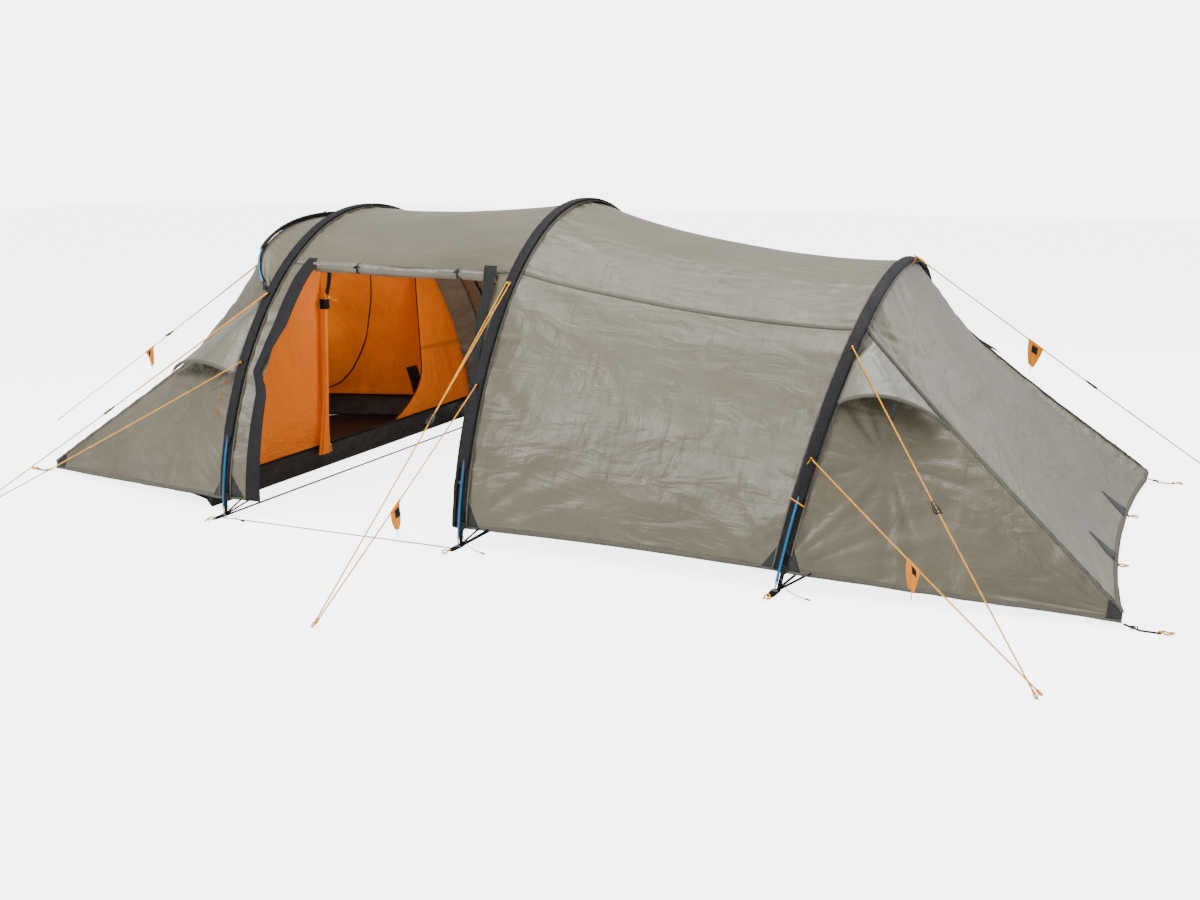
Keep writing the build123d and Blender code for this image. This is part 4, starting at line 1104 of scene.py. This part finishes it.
FLAG_WIDTH, FLAG_DROP, FLAG_TAPER = 0.076, 0.092, 0.66
pennants, squares, tails = Build(), Build(), Build()
for points in islands("guy_flags"):
    centre = points.mean(axis=0)
    a, b = line = line_of(centre)
    t = share_on(line, centre)
    along, across, down = line_axes(line)
    down = down if down[2] < 0 else -down
    middle = a + t * (b - a) - Z * LINE_SAG * hump(t)
    hang = unit(down * 0.6 - Z * 0.6)

    def hanging(s, u):
        width = FLAG_WIDTH * (1 - FLAG_TAPER * s**1.4)
        curl = 0.012 * math.sin(PI * s) * math.cos(u * 4 + t * 6) + 0.006 * s * math.sin(u * 7)
        return middle + along * (u * width + 0.014 * s) + hang * s * FLAG_DROP + across * curl

    sheet = surface(hanging, 14, steps(-0.5, 0.5, 15))
    pennants.grid(sheet)
    pennants.tube([middle + along * FLAG_WIDTH / 2 * s for s in steps(-1, 1, 9)], 0.0042, 9)
    n = sheet_normals(sheet, across)
    for way in (-1, 1):
        patch(squares, sheet, n * way, [(0.10, 0.30), (0.10, 0.68), (0.42, 0.72), (0.42, 0.28)], 0.0014, 6)
    tip, step = sheet[-1].mean(axis=0), hang * 0.004 + along * 0.0010
    tails.tube([tip + step * k + across * 0.001 * math.sin(k) for k in range(-2, 8)], 0.0014)
pennants.show("guy_line_flags", FLAG, "guy_flags", 0.001)
squares.show("flag_squares", SLEEVE, thickness=0.0008)
tails.show("flag_tails", GREY_CORD)

# ---------------- feet and ground straps


def ladder(build, spot, along, across, rungs, half, ends):
    """A ladder buckle: rungs across a tape between two rails."""
    for k in rungs:
        build.tube([spot + along * k + across * half * s for s in steps(-1, 1, 5)], 0.0022, 8)
    for s in (-1, 1):
        build.tube([spot + across * 0.0115 * s + along * k for k in ends], 0.0024, 8)


TAB_SHAPE = ((-0.020, 0.0035), (0.0, 0.0042), (0.03, 0.0046), (0.06, 0.0040), (0.071, 0.0034))
TAB_WIDTHS = [0.034, 0.038, 0.036, 0.030, 0.022]
STRAP_TOP = 0.155
tab_webs, ladders, foot_loops, foot_webs, tails = Build(), Build(), Build(), Build(), Build()
for hoop, way in product(HOOPS, (-1, 1)):
    foot, out = vec(hoop.x, way * hoop.half, 0.0), way * Y
    tab_webs.strip([foot + out * d + Z * z for d, z in TAB_SHAPE], Z, TAB_WIDTHS, 0.0022, -0.0010)
    tab_webs.loop(foot + out * 0.062 + Z * 0.0045, (0.0085, 0.0085), (X, out), 0.0026, 24)

    angle = angle_at(hoop, STRAP_TOP)
    top, _, side = hoop_frame(hoop, angle if way < 0 else PI - angle, INSET)
    start, end = top + side * 0.017 + out * 0.006, foot + X * 0.014 + Z * 0.010
    web = [start + s * (end - start) + out * 0.004 * math.sin(PI * s) for s in steps(0, 1, 16)]
    foot_webs.strip(web, out, 0.016, 0.0018, 0.001)
    along = unit(end - start)
    ladder(ladders, start + 0.42 * (end - start) + out * 0.007, along, unit(np.cross(along, out)),
           (-0.013, -0.004, 0.005, 0.013), 0.012, (-0.014, -0.005, 0.005, 0.014))
    for reach, height in ((0.085, 0.008), (0.130, 0.006)):
        hem = vec(hoop.x + reach, way * (hoop.half - 0.030), HEM - 0.004)
        foot_webs.strip(between(foot + X * 0.006 + Z * height, hem, 8), unit(out + Z), 0.010, 0.0016)

    spot = foot + out * 0.094 + Z * 0.004 - X * 0.004
    foot_loops.loop(spot, (0.012, 0.024), (X, out), 0.0032, 28, 0.010, 1.2 * way + hoop.x)
    end = spot + X * 0.006 + out * 0.018
    foot_loops.tube([end + (X * 0.003 + out * 0.002 + Z * 0.0025) * k for k in range(8)], 0.0021)
    start, step = foot + X * 0.02 + Z * 0.0022, X * 0.012 + out * 0.004
    tail = [start + step * k + Z * 0.058 * math.exp(-k / 2.2) for k in range(12)]
    tails.tube(tail, 0.0016)
    tab_webs.strip(tail[-3:], Z, 0.010, 0.0022, -0.0008)
tab_webs.show("foot_tab_webbing", WEB, "foot_tabs")
foot_webs.show("foot_tension_webbing", WEB)
ladders.show("foot_ladder_buckles", PLASTIC)
foot_loops.show("foot_peg_loops", LOOP)
tails.show("foot_strap_tails", GREY_CORD)

SPACER_MIN_LENGTH = 0.9
straps, spacers, corner_locks = Build(), Build(), Build()
for points in islands("ground_straps"):
    low, high = points.min(axis=0), points.max(axis=0)
    span, centre = high - low, (low + high) / 2
    if span[0] > SPACER_MIN_LENGTH:
        # A cord along the tent, between two feet.
        a = vec(low[0], points[points[:, 0] < low[0] + 0.01][:, 1].mean(), 0.003)
        b = vec(high[0], points[points[:, 0] > high[0] - 0.01][:, 1].mean(), 0.003)
        path = [a + s * (b - a) + Y * 0.002 * wave(s * 4, 0, 3) + Z * 0.0012 * abs(wave(s * 5, 1, 3))
                for s in steps(0, 1, 50)]
        spacers.tube(path, 0.0024, 7)
        continue
    crosswise = span[1] > span[0]
    axis, lift, count = (1, 0.0, 60) if crosswise else (0, 0.016, 18)
    a, b = centre.copy(), centre.copy()
    a[axis], b[axis] = low[axis], high[axis]
    a[2] = b[2] = 0.0
    tent_end = 0.0 if abs(a[0]) < abs(b[0]) else 1.0
    path = []
    for s in steps(0, 1, count):
        rise = lift * max(0.0, 1 - abs(s - tent_end) * 2.2)
        path.append(a + s * (b - a) + Z * (rise + 0.0010 * abs(wave(s * 9, 2, 9))))
    straps.strip(path, Z, 0.019, 0.0016, 0.0003)
    if not crosswise:
        spot = path[int((0.35 if tent_end == 0.0 else 0.65) * 17)] + Z * 0.004
        for k in (-0.011, 0.0, 0.011):
            corner_locks.tube([spot + X * k + Y * 0.012 * s for s in (-1, -0.4, 0.4, 1)], 0.0024, 8)
        for s in (-1, 1):
            corner_locks.tube([spot + X * k + Y * 0.0118 * s for k in (-0.012, 0, 0.012)], 0.0024, 8)
straps.show("ground_strap_webbing", WEB, "ground_straps")
spacers.show("hoop_spacer_cords", GREY_CORD, slot="webbing")
corner_locks.show("corner_strap_buckles", PLASTIC)

loops, hem_webs = Build(), Build()
for number, points in enumerate(islands("peg_loops")):
    centre = (points.min(axis=0) + points.max(axis=0)) / 2
    centre[2] = 0.003
    outward = math.copysign(1.0, centre[0])
    along = outward * X
    loops.loop(centre, (0.019, 0.013), (along, Y), 0.0032, 30, 0.006, number * 1.7)
    knot = [centre - along * (0.018 + 0.004 * k) + Y * 0.002 * math.sin(k) + Z * 0.002 * k for k in range(4)]
    loops.tube(knot, 0.0040)
    if abs(centre[1]) < 0.8:
        hem = vec(centre[0] - outward * 0.045, centre[1], CORNER_LOW + 0.012)
        web = between(centre - along * 0.020 + Z * 0.004, hem, 7)
        hem_webs.strip(web, unit(along * 0.5 + Z), 0.012, 0.0018)
loops.show("peg_loop_cords", LOOP, "peg_loops")
hem_webs.show("hem_loop_webbing", WEB)

elastic = Build()
elastic_angle = angle_at(REAR, SLEEVE_FOOT + 0.012)
for angle in (elastic_angle, PI - elastic_angle):
    point, out, side = hoop_frame(REAR, angle)
    wide, high = side * 0.0265 - Z * 0.010, out * 0.0118
    ring = [point + wide * math.cos(t) + high * math.sin(t) for t in steps(0, 2 * PI, 25)]
    elastic.tube(ring, 0.0030, 8, cap=False)
elastic.show("rear_sleeve_elastic", LOOP, body="rear_hoop", keep=None)

# ---------------- the rolled-up side door and its edges


def near_y(x, z):
    """Across the tent, where the near side's outer face is between the front and middle hoops."""
    first, second = [arch(hoop, angle_at(hoop, z), INSET)[1] for hoop in (FRONT, MIDDLE)]
    return float(first + bay_share(x) * (second - first))


roll_low, roll_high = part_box("near_door_roll")
ROLL_Z = (roll_low.z + roll_high.z) / 2
ROLL_LIFT, ROLL_OUT, ROLL_RADIUS, ROLL_SIDES = 0.006, 0.046, 0.0265, 30
TIE_SHARES = (0.25, 0.80)


def roll_centre(s, level):
    x = roll_low.x + s * (roll_high.x - roll_low.x)
    return vec(x, near_y(x, level) + ROLL_OUT, ROLL_Z + ROLL_LIFT)


roll = []
for s in steps(0, 1, 96):
    pinch = 1 - sum(0.20 * math.exp(-((s - tie) / 0.012) ** 2) for tie in TIE_SHARES)
    droop = -0.006 * math.sin(PI * min(1, max(0, (s - 0.25) / 0.55))) - 0.010 * s**6
    ring = []
    for k, a in enumerate(turns_of(ROLL_SIDES)):
        r = ROLL_RADIUS * pinch * (1 + 0.07 * wave(s * 9, k * 0.35, 51) + 0.05 * math.sin(3 * a + s * 7))
        r *= 1 + 0.10 * max(0.0, math.cos(a - 2.4)) ** 12
        around = Y * r * math.cos(a) + Z * (r * 0.95 * math.sin(a) + droop)
        ring.append(roll_centre(s, min(ROLL_Z, 1.1)) + around)
    roll.append(ring)
roll = np.array(roll)


def cap_end(build, ring, forwards, size=1.0):
    """Closes a ring of a build with one face, drawn in to this share of the ring."""
    base, hub = len(build.verts), np.mean(ring, axis=0)
    build.verts += [hub + (p - hub) * size for p in ring]
    build.uvs += [(float(p[1]), float(p[2])) for p in ring]
    face = tuple(range(base, base + len(ring)))
    build.faces.append(face if forwards else face[::-1])


rolled = Build().grid(roll, closed=True)
for end, way in ((0, -1), (-1, 1)):
    hub = roll[end].mean(axis=0)
    spiral = [hub + (roll[end][k % ROLL_SIDES] - hub) * (1 - k / 75) for k in range(66)]
    rolled.tube(np.array(spiral) + 0.001 * way * X, 0.0012, 5)
    cap_end(rolled, roll[end], way > 0, 0.98)
rolled.show("rolled_door_cloth", HOOD, "near_door_roll")

ties, toggles = Build(), Build()
for s in TIE_SHARES:
    spot = roll_centre(s, 1.1)
    ring = [spot + Y * 0.0245 * math.cos(a) + Z * 0.0235 * math.sin(a) for a in steps(0, 2 * PI, 25)]
    ties.tube(ring, 0.0026, 7, cap=False)
    ties.tube([spot - Y * 0.026 - Z * (0.004 + 0.005 * k) for k in range(5)], 0.0022)
    toggles.tube([spot + vec(-0.016 + 0.004 * k, -0.027 - 0.001 * k, 0.004 + 0.0016 * k) for k in range(9)],
                 [0.003, 0.0046, 0.0050, 0.0050, 0.0042, 0.0050, 0.0050, 0.0046, 0.003], 10)
ties.show("door_roll_ties", WEB)
toggles.show("door_roll_toggles", PLASTIC)

header_z = DOOR_TOP + 0.012
header = [(x, near_y(x, header_z) - 0.001, header_z) for x in steps(DOOR_LEFT - 0.03, DOOR_RIGHT + 0.04, 40)]
Build().strip(header, (0, -1, 0.9), 0.012, 0.0014).show("door_header_tape", TAPE, slot="webbing")


def band(edge, profile, count, seed):
    """A door edge from (height, outer, inner) distances to its line, rippled between its knots."""
    heights, outers, inners = zip(*profile)

    def point(z, t):
        k = max(i for i, h in enumerate(heights[:-1]) if h <= z + 1e-9)
        s = (z - heights[k]) / (heights[k + 1] - heights[k])
        outer, inner = [edge + side[k] + s * (side[k + 1] - side[k]) for side in (outers, inners)]
        x = outer + t * (inner - outer)
        return vec(x, near_y(x, z) - 0.004 + 0.006 * math.sin(PI * t) * wave(z * 5, t, seed) - 0.003 * t, z)

    return surface(point, steps(heights[0], heights[-1], count), 12)


LEFT_EDGE = ((0.086, 0.0, 0.085), (0.37, -0.014, 0.058), (0.56, -0.022, 0.040), (0.60, -0.038, 0.020),
             (0.655, -0.072, -0.030), (0.72, -0.060, -0.012), (0.86, -0.044, 0.034), (1.07, -0.052, 0.030),
             (1.118, -0.045, 0.036), (1.15, -0.036, 0.014))
RIGHT_EDGE = ((0.086, 0.048, 0.064), (0.40, 0.046, 0.062), (0.66, 0.044, 0.064), (0.78, 0.024, 0.060),
              (0.88, 0.000, 0.044), (1.06, -0.040, 0.012), (1.118, -0.072, -0.008), (1.15, -0.086, -0.018))
door_bands = Build().grid(band(DOOR_LEFT, LEFT_EDGE, 90, 61.0)).grid(band(DOOR_RIGHT, RIGHT_EDGE, 90, 67.0))
door_bands.show("door_edge_bands", SLEEVE, "near_door_edging", 0.002, slot="webbing")

# ---------------- cabins

wall_box, canopy_box, rear_canopy_box = [
    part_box(node) for node in ("front_cabin_door_wall", "front_cabin_canopy", "rear_cabin_canopy")
]
WALL_X = (wall_box[0].x + wall_box[1].x) / 2
TUB_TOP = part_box("front_cabin_tub_walls")[1].z
WALL_INSET, REAR_INSET = 0.075, 0.290
DOOR_HIGH, DOOR_LOW = 1.050, TUB_TOP + 0.001
FRONT_END_HALF, REAR_END_HALF = 0.88, 0.74


def cabin_arch(hoop, inset, x, foot, count):
    """An inner arch below a hoop, upright at x, or leaning with the hoop if x is None."""
    placed = hoop if x is None else hoop._replace(x=x, lean=0.0)
    low = math.asin(((foot - hoop.base) / (hoop.rise - inset)) ** (1 / hoop.power))
    return [arch(placed, a, inset) for a in steps(low, PI - low, count)]


def wall_outline(hoop, inset):
    return [p[1:] for p in cabin_arch(hoop, inset, 0.0, DOOR_LOW, 60)]


def door_outline():
    """The cabin door's D-shaped opening, from its near top corner round to its far top corner."""
    points = [vec(-0.280, DOOR_HIGH), vec(-0.300, 0.55), vec(-0.320, DOOR_LOW)]
    points += [vec(y, DOOR_LOW) for y in (-0.1, 0.1, 0.3)]
    for a in steps(0, 1, 24):
        corner = 1 - max(0.0, 1 - a / 0.30) ** 2.2
        lean = 0.055 * max(0.0, a - 0.30)
        points.append(vec(0.34 + 0.325 * corner - lean * 1.3, DOOR_LOW + (DOOR_HIGH - DOOR_LOW) * a))
    return points


def ray_hit(outline, centre, direction):
    """How far a ray from the centre goes to a closed outline."""
    best = 0.0
    for p, q in zip(outline, outline[1:] + outline[:1]):
        e, r = q - p, p - centre
        det = direction[0] * -e[1] + direction[1] * e[0]
        if abs(det) < 1e-12:
            continue
        t = (r[0] * -e[1] + r[1] * e[0]) / det
        s = (direction[0] * r[1] - direction[1] * r[0]) / det
        if t > 0 and -1e-6 <= s <= 1 + 1e-6:
            best = max(best, t)
    return best


outline, opening = wall_outline(FRONT, WALL_INSET), door_outline()
centre, layers, turns = vec(0.12, 0.52), 16, 168
wall, widths = np.zeros((layers, turns, 3)), np.zeros(turns)
for k, a in enumerate(turns_of(turns)):
    ray = vec(math.cos(a), math.sin(a))
    inner, outer = ray_hit(opening, centre, ray), ray_hit(outline, centre, ray)
    widths[k] = outer - inner
    for i, s in enumerate(steps(0, 1, layers)):
        y, z = centre + ray * (inner + s * (outer - inner))
        ripple = 0.010 * wave(y * 3.2, z * 2.2, 71) + 0.004 * wave(y * 11, z * 6, 73)
        wall[i, k] = (WALL_X + math.sin(PI * s) * ripple, y, z)
wall_cloth = Build().grid(wall, closed=True, skip=lambda i, k: widths[k] < 0.004)
wall_cloth.show("front_cabin_wall_cloth", ORANGE, "front_cabin_door_wall", 0.001)
zip_tape = Build()
for edge in ([vec(WALL_X + 0.003, *p) for p in opening[4:]],
             [vec(WALL_X + 0.003, -0.28 + s * 0.87, DOOR_HIGH) for s in steps(0, 1, 20)]):
    zip_tape.strip(edge, X, 0.010, 0.0014)
zip_tape.show("cabin_door_zip_tape", DARK_TAPE)


def tail_line(x, half, height, count=70):
    """The blunt end of a cabin: low sides, a nearly straight top."""
    line = []
    for a in steps(0.02, PI - 0.02, count):
        y = -half * math.copysign(abs(math.cos(a)) ** 0.9, math.cos(a))
        line.append(vec(x, y, TUB_TOP + 0.002 + (height - TUB_TOP) * math.sin(a) ** 0.8))
    return line


def shell(sections, rows, sag, seed):
    """A cabin's roof and sides through arched sections, drawn in between them."""
    grid = [sections[0]]
    for first, second in zip(sections, sections[1:]):
        grid += [[(1 - t) * p + t * q for p, q in zip(first, second)] for t in steps(0, 1, rows)[1:]]
    grid = np.array(grid)
    n = normals_of(grid)
    count, across = grid.shape[:2]
    for i, j in np.ndindex(count, across):
        hollow, u = math.sin(PI * i / (count - 1)), j / (across - 1)
        low = min(1.0, 8 * min(u, 1 - u))
        grid[i, j] -= n[i, j] * low * (sag * hollow**0.55 - 0.012 * wave(i * 0.16, u * 14, seed) * hollow)
    return grid


SHELL_FOOT = TUB_TOP + 0.002
front_shell = shell([cabin_arch(FRONT, WALL_INSET, WALL_X - 0.003, SHELL_FOOT, 70),
                     tail_line(canopy_box[0].x, FRONT_END_HALF, 0.25)], 44, 0.060, 81.0)
canopy = Build().grid(front_shell)
canopy.show("front_cabin_canopy_cloth", ORANGE, "front_cabin_canopy", 0.001)
rear_wall_x = rear_canopy_box[0].x
rear_shell = shell([cabin_arch(MIDDLE, REAR_INSET, rear_wall_x + 0.005, SHELL_FOOT, 70),
                    cabin_arch(REAR, REAR_INSET, None, SHELL_FOOT, 70),
                    tail_line(rear_canopy_box[1].x, REAR_END_HALF, 0.37)], 26, 0.015, 87.0)
back_outline, back_centre = np.array(wall_outline(MIDDLE, REAR_INSET)), vec(0.0, 0.55)


def back_wall(s, p):
    y, z = back_centre + (p - back_centre) * s
    return rear_wall_x + 0.010 * math.sin(PI * s) * wave(y * 3, z * 2.5, 91), y, z


rear_cloth = Build().grid(rear_shell).grid(surface(back_wall, steps(0.02, 1, 14), back_outline), closed=True)
rear_cloth.show("rear_cabin_canopy_cloth", ORANGE, "rear_cabin_canopy", 0.001)

inner_seams = Build()
for way in (1, -1):
    shares = steps(0, 1, len(front_shell))
    path = np.array([on_sheet(front_shell, t, 0.5 + way * 0.47 * t**0.85) for t in shares])
    facing = [unit(vec(WALL_X - 0.5, 0, 0.35) - p) for p in path]
    inner_seams.strip(path, facing, 0.014, 0.0012, 0.002)
inner_seams.show("cabin_inner_seams", DARK_TAPE)

FLOOR_Z, TUCK, TOP_TUCK = 0.002, 0.06, 0.07


def tub(name, start_x, start_half, end_x, end_half):
    """A bathtub floor: a slack sheet with upright sides whose top edge waves a little."""
    corners = [vec(start_x, -start_half), vec(end_x, -end_half), vec(end_x, end_half)]
    corners.append(vec(start_x, start_half))
    path = []
    for p, q in zip(corners, corners[1:] + corners[:1]):
        path += between(p, q, 40)[:-1]
    path = path + path[:1]
    centre = sum(corners) / 4

    def side(s, k):
        p = path[k]
        bulge = 0.005 * math.sin(PI * s) * wave(k * 0.22, s * 2, 95) - 0.004 * math.sin(PI * s)
        bulge -= TOP_TUCK * (1 - s) * min(1.0, abs(p[0] - start_x) / 0.10)
        x, y = p + unit(p - centre) * bulge
        return x, y, FLOOR_Z + (TUB_TOP - FLOOR_Z) * s - 0.004 * s * abs(wave(k * 0.3, 0, 97))

    def bottom(s, t):
        half = start_half + s * (end_half - start_half) - TUCK * min(1.0, 9 * s)
        x = start_x + s * (end_x - start_x - math.copysign(TUCK, end_x - start_x))
        return x, half * t, FLOOR_Z + 0.005 * abs(wave(x * 2.5, half * t * 2.5, 99)) * (1 - t**4)

    sides = surface(side, 9, range(len(path)))
    Build().grid(sides).show(f"{name}_tub_cloth", TUB, f"{name}_tub_walls", 0.0012)
    floor = Build().grid(surface(bottom, 40, steps(-1, 1, 48)))
    floor.show(f"{name}_floor_cloth", TUB, f"{name}_floor", 0.001)
    outward = [unit(vec(*(p - centre), 0.0)) for p in path]
    Build().strip(sides[-1], outward, 0.012, 0.0012, 0.0004).show(f"{name}_tub_tape", WEB, slot="tub_fabric")


rear_tub_low, rear_tub_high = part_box("rear_cabin_tub_walls")
tub("front_cabin", WALL_X + 0.0008, FRONT.half - 0.095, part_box("front_cabin_tub_walls")[0].x, FRONT_END_HALF)
tub("rear_cabin", rear_tub_low.x, MIDDLE.half - REAR_INSET - 0.020, rear_tub_high.x, REAR_END_HALF)

# The cabin door hangs gathered at the near edge of its opening, tied up by a strap from the ridge.
bundle_low, bundle_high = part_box("cabin_door_bundle")
bundle_x = (bundle_low.x + bundle_high.x) / 2
BUNDLE_SIDES, BUNDLE_FOOT = 36, 0.085
rings = []
for s in steps(0, 1, 70):
    z = bundle_high.z - s * (bundle_high.z - BUNDLE_FOOT)
    y = -0.296 - 0.045 * s - 0.040 * max(0.0, s - 0.6)
    base = 0.017 - 0.005 * math.exp(-((s - 0.02) / 0.03) ** 2) + 0.040 * max(0.0, s - 0.55) ** 1.4
    flat = 1 + max(0.0, s - 0.6)
    ring = []
    for k, a in enumerate(turns_of(BUNDLE_SIDES)):
        pleat = 1 + 0.16 * math.sin(6 * a + 1.5 * math.sin(3 * s)) + 0.08 * wave(k * 0.4, s * 4, 103)
        x = bundle_x + base * 0.72 * pleat * math.sin(a) / flat
        ring.append(vec(x, y + base * pleat * math.cos(a) * flat, z))
    rings.append(ring)
bundle = Build().grid(rings, closed=True)
cap_end(bundle, rings[0], True)
cap_end(bundle, rings[-1], False)
bundle.show("cabin_door_gathered_cloth", ORANGE, "cabin_door_bundle")

top, tie = vec(bundle_x - 0.012, -0.225, 1.10), vec(bundle_x + 0.004, -0.288, bundle_high.z - 0.02)
hoist = [top + s * (tie - top) + X * 0.010 * math.sin(PI * s) for s in steps(0, 1, 14)]
strap = Build().strip(hoist, X, [0.040 - 0.014 * s for s in steps(0, 1, 14)], 0.002)
wrap = vec(bundle_x, -0.297, bundle_high.z - 0.055)
ring = [wrap + X * 0.021 * math.sin(a) + Y * 0.027 * math.cos(a) for a in steps(0, 2 * PI, 25)]
strap.strip(ring, [unit(p - wrap) for p in ring], 0.050, 0.002)
strap.show("cabin_door_strap", WEB)
cord_end = [tie + vec(0.012, 0.010 * k, 0.006 * math.sin(k) - 0.0035 * k) for k in range(9)]
tie_cord = Build().tube(cord_end, 0.0020)
tie_cord.loop(tie + vec(0.012, -0.004, 0.0), (0.014, 0.008), (Y, Z), 0.0020, 20)
tie_cord.show("cabin_door_tie", LOOP)

zip_low, zip_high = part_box("cabin_zip_slider")
zip_spot = vec((zip_low.x + zip_high.x) / 2, (zip_low.y + zip_high.y) / 2, zip_high.z - 0.004)
pull = [zip_spot + vec(0.004, 0.002 * math.sin(k), -0.004 - 0.0042 * k) for k in range(9)]
slider = Build().box(zip_spot, (Y, Z, X), (0.012, 0.009, 0.005))
slider.tube(pull, [0.0016, 0.0024, 0.0026, 0.0022, 0.0026, 0.0032, 0.0034, 0.0030, 0.0018])
slider.show("cabin_zip_pull", GOLD, "cabin_zip_slider", body="zip")


def pocket(s, t):
    sheet = on_sheet(front_shell, 0.28 + 0.07 * t, 0.992 - 0.085 * s)
    return sheet - Y * (0.012 + 0.012 * math.sin(PI * t) * s)


Build().grid(surface(pocket, 8, 12)).show("cabin_mesh_pocket", MESH, thickness=0.0008, slot="cabin_fabric")

# Webbing inside the far side of the vestibule, hanging from the far seam.
hangers = Build()
n = sheet_normals(front_far, -Y)
for t in (0.10, 0.22, 0.62):
    column = int(t * (front_far.shape[1] - 1))
    hangers.strip(front_far[4:60, column], n[4:60, column], 0.016, 0.0016, 0.004)
hangers.show("far_side_inner_webbing", WEB)

# ---------------- hard CAD pieces, stage, camera and light

hard_pieces = {"pole_eyelets": STEEL, "brow_pole_eyes": PLASTIC, "brow_clips": PLASTIC}
hard_pieces["brow_pole_tubes"] = BLUE
for hoop in HOOPS:
    hard_pieces[f"{hoop.name}_pole_tubes"] = BLUE
    hard_pieces[f"{hoop.name}_pole_ferrules"] = hard_pieces[f"{hoop.name}_pole_tips"] = STEEL
for end, side in product(("rear", "front"), ("near", "far")):
    hard_pieces[f"{end}_{side}_vent_prop"] = PLASTIC
for node, material in hard_pieces.items():
    frame["nodes"][node].data.materials.clear()
    frame["nodes"][node].data.materials.append(material)

FLOOR_GLOW, SKY_GLOW, SKY_LIGHT = 4.2, 5.0, 0.80
LAMPS = (
    ("key", (-3.5, -6.5, 6.0), 4.0, 560), ("top", (1.0, 0.5, 6.5), 5.0, 460),
    ("back", (5.5, 5.0, 4.5), 4.0, 160), ("inside", (-0.7, 0.0, 1.05), 0.5, 9),
    ("cabin", (-1.75, 0.0, 0.75), 0.3, 5),
)
SMALL_LAMP = 20


def floor_and_sky():
    """A pale floor and sky that look brighter to the camera than they light the tent."""
    bpy.ops.mesh.primitive_plane_add(size=60, location=(0, 0, -0.001))
    floor = bpy.context.object
    floor.name = "floor"
    s = Shader("floor_paint")
    seen, spot = s.add("LightPath"), s.add("NewGeometry")
    tone = s.mix(s.ramp(s.noise(spot, 0.8, 3.0), 0.3, 0.7), rgb(0.90, 0.90, 0.90), rgb(0.88, 0.88, 0.875))
    floor.data.materials.append(s.finish(s.add("BsdfPrincipled", {
        "Base Color": tone, "Roughness": 0.9, "Emission Color": rgb(1, 1, 1),
        "Emission Strength": s.times(seen, FLOOR_GLOW),
    })))
    world = bpy.data.worlds.new("studio")
    bpy.context.scene.world = world
    world.use_nodes = True
    nodes, links = world.node_tree.nodes, world.node_tree.links
    back = nodes["Background"]
    back.inputs[0].default_value = rgb(0.95, 0.965, 1.0)
    strength = nodes.new("ShaderNodeMath")
    strength.operation = "MULTIPLY_ADD"
    strength.inputs[1].default_value = SKY_GLOW
    strength.inputs[2].default_value = SKY_LIGHT
    links.new(nodes.new("ShaderNodeLightPath").outputs["Is Camera Ray"], strength.inputs[0])
    links.new(strength.outputs[0], back.inputs[1])


def aim(name, data, spot, look):
    """A camera or lamp that stands at a spot and looks along a direction."""
    obj = bpy.data.objects.new(name, data)
    bpy.context.scene.collection.objects.link(obj)
    obj.location = spot
    obj.rotation_mode = "QUATERNION"
    obj.rotation_quaternion = look.to_track_quat("-Z", "Y")
    return obj


def lamps():
    for name, spot, size, power in LAMPS:
        light = bpy.data.lights.new(name, "AREA")
        light.energy, light.size = power, size
        target = Vector((spot[0] - 0.8, 0, 0)) if power < SMALL_LAMP else Vector((0, 0, 0.4))
        lamp = aim(name, light, spot, target - Vector(spot))
        lamp.visible_camera = False


def camera():
    data = bpy.data.cameras.new("camera")
    data.lens, data.sensor_width = 38.84, 36.0
    data.clip_end = 200
    yaw, pitch = math.radians(24.41), math.radians(12.95)
    look = Vector((-math.sin(yaw) * math.cos(pitch), math.cos(yaw) * math.cos(pitch), -math.sin(pitch)))
    bpy.context.scene.camera = aim("camera", data, (2.748, -5.879, 1.65), look)


floor_and_sky()
lamps()
camera()
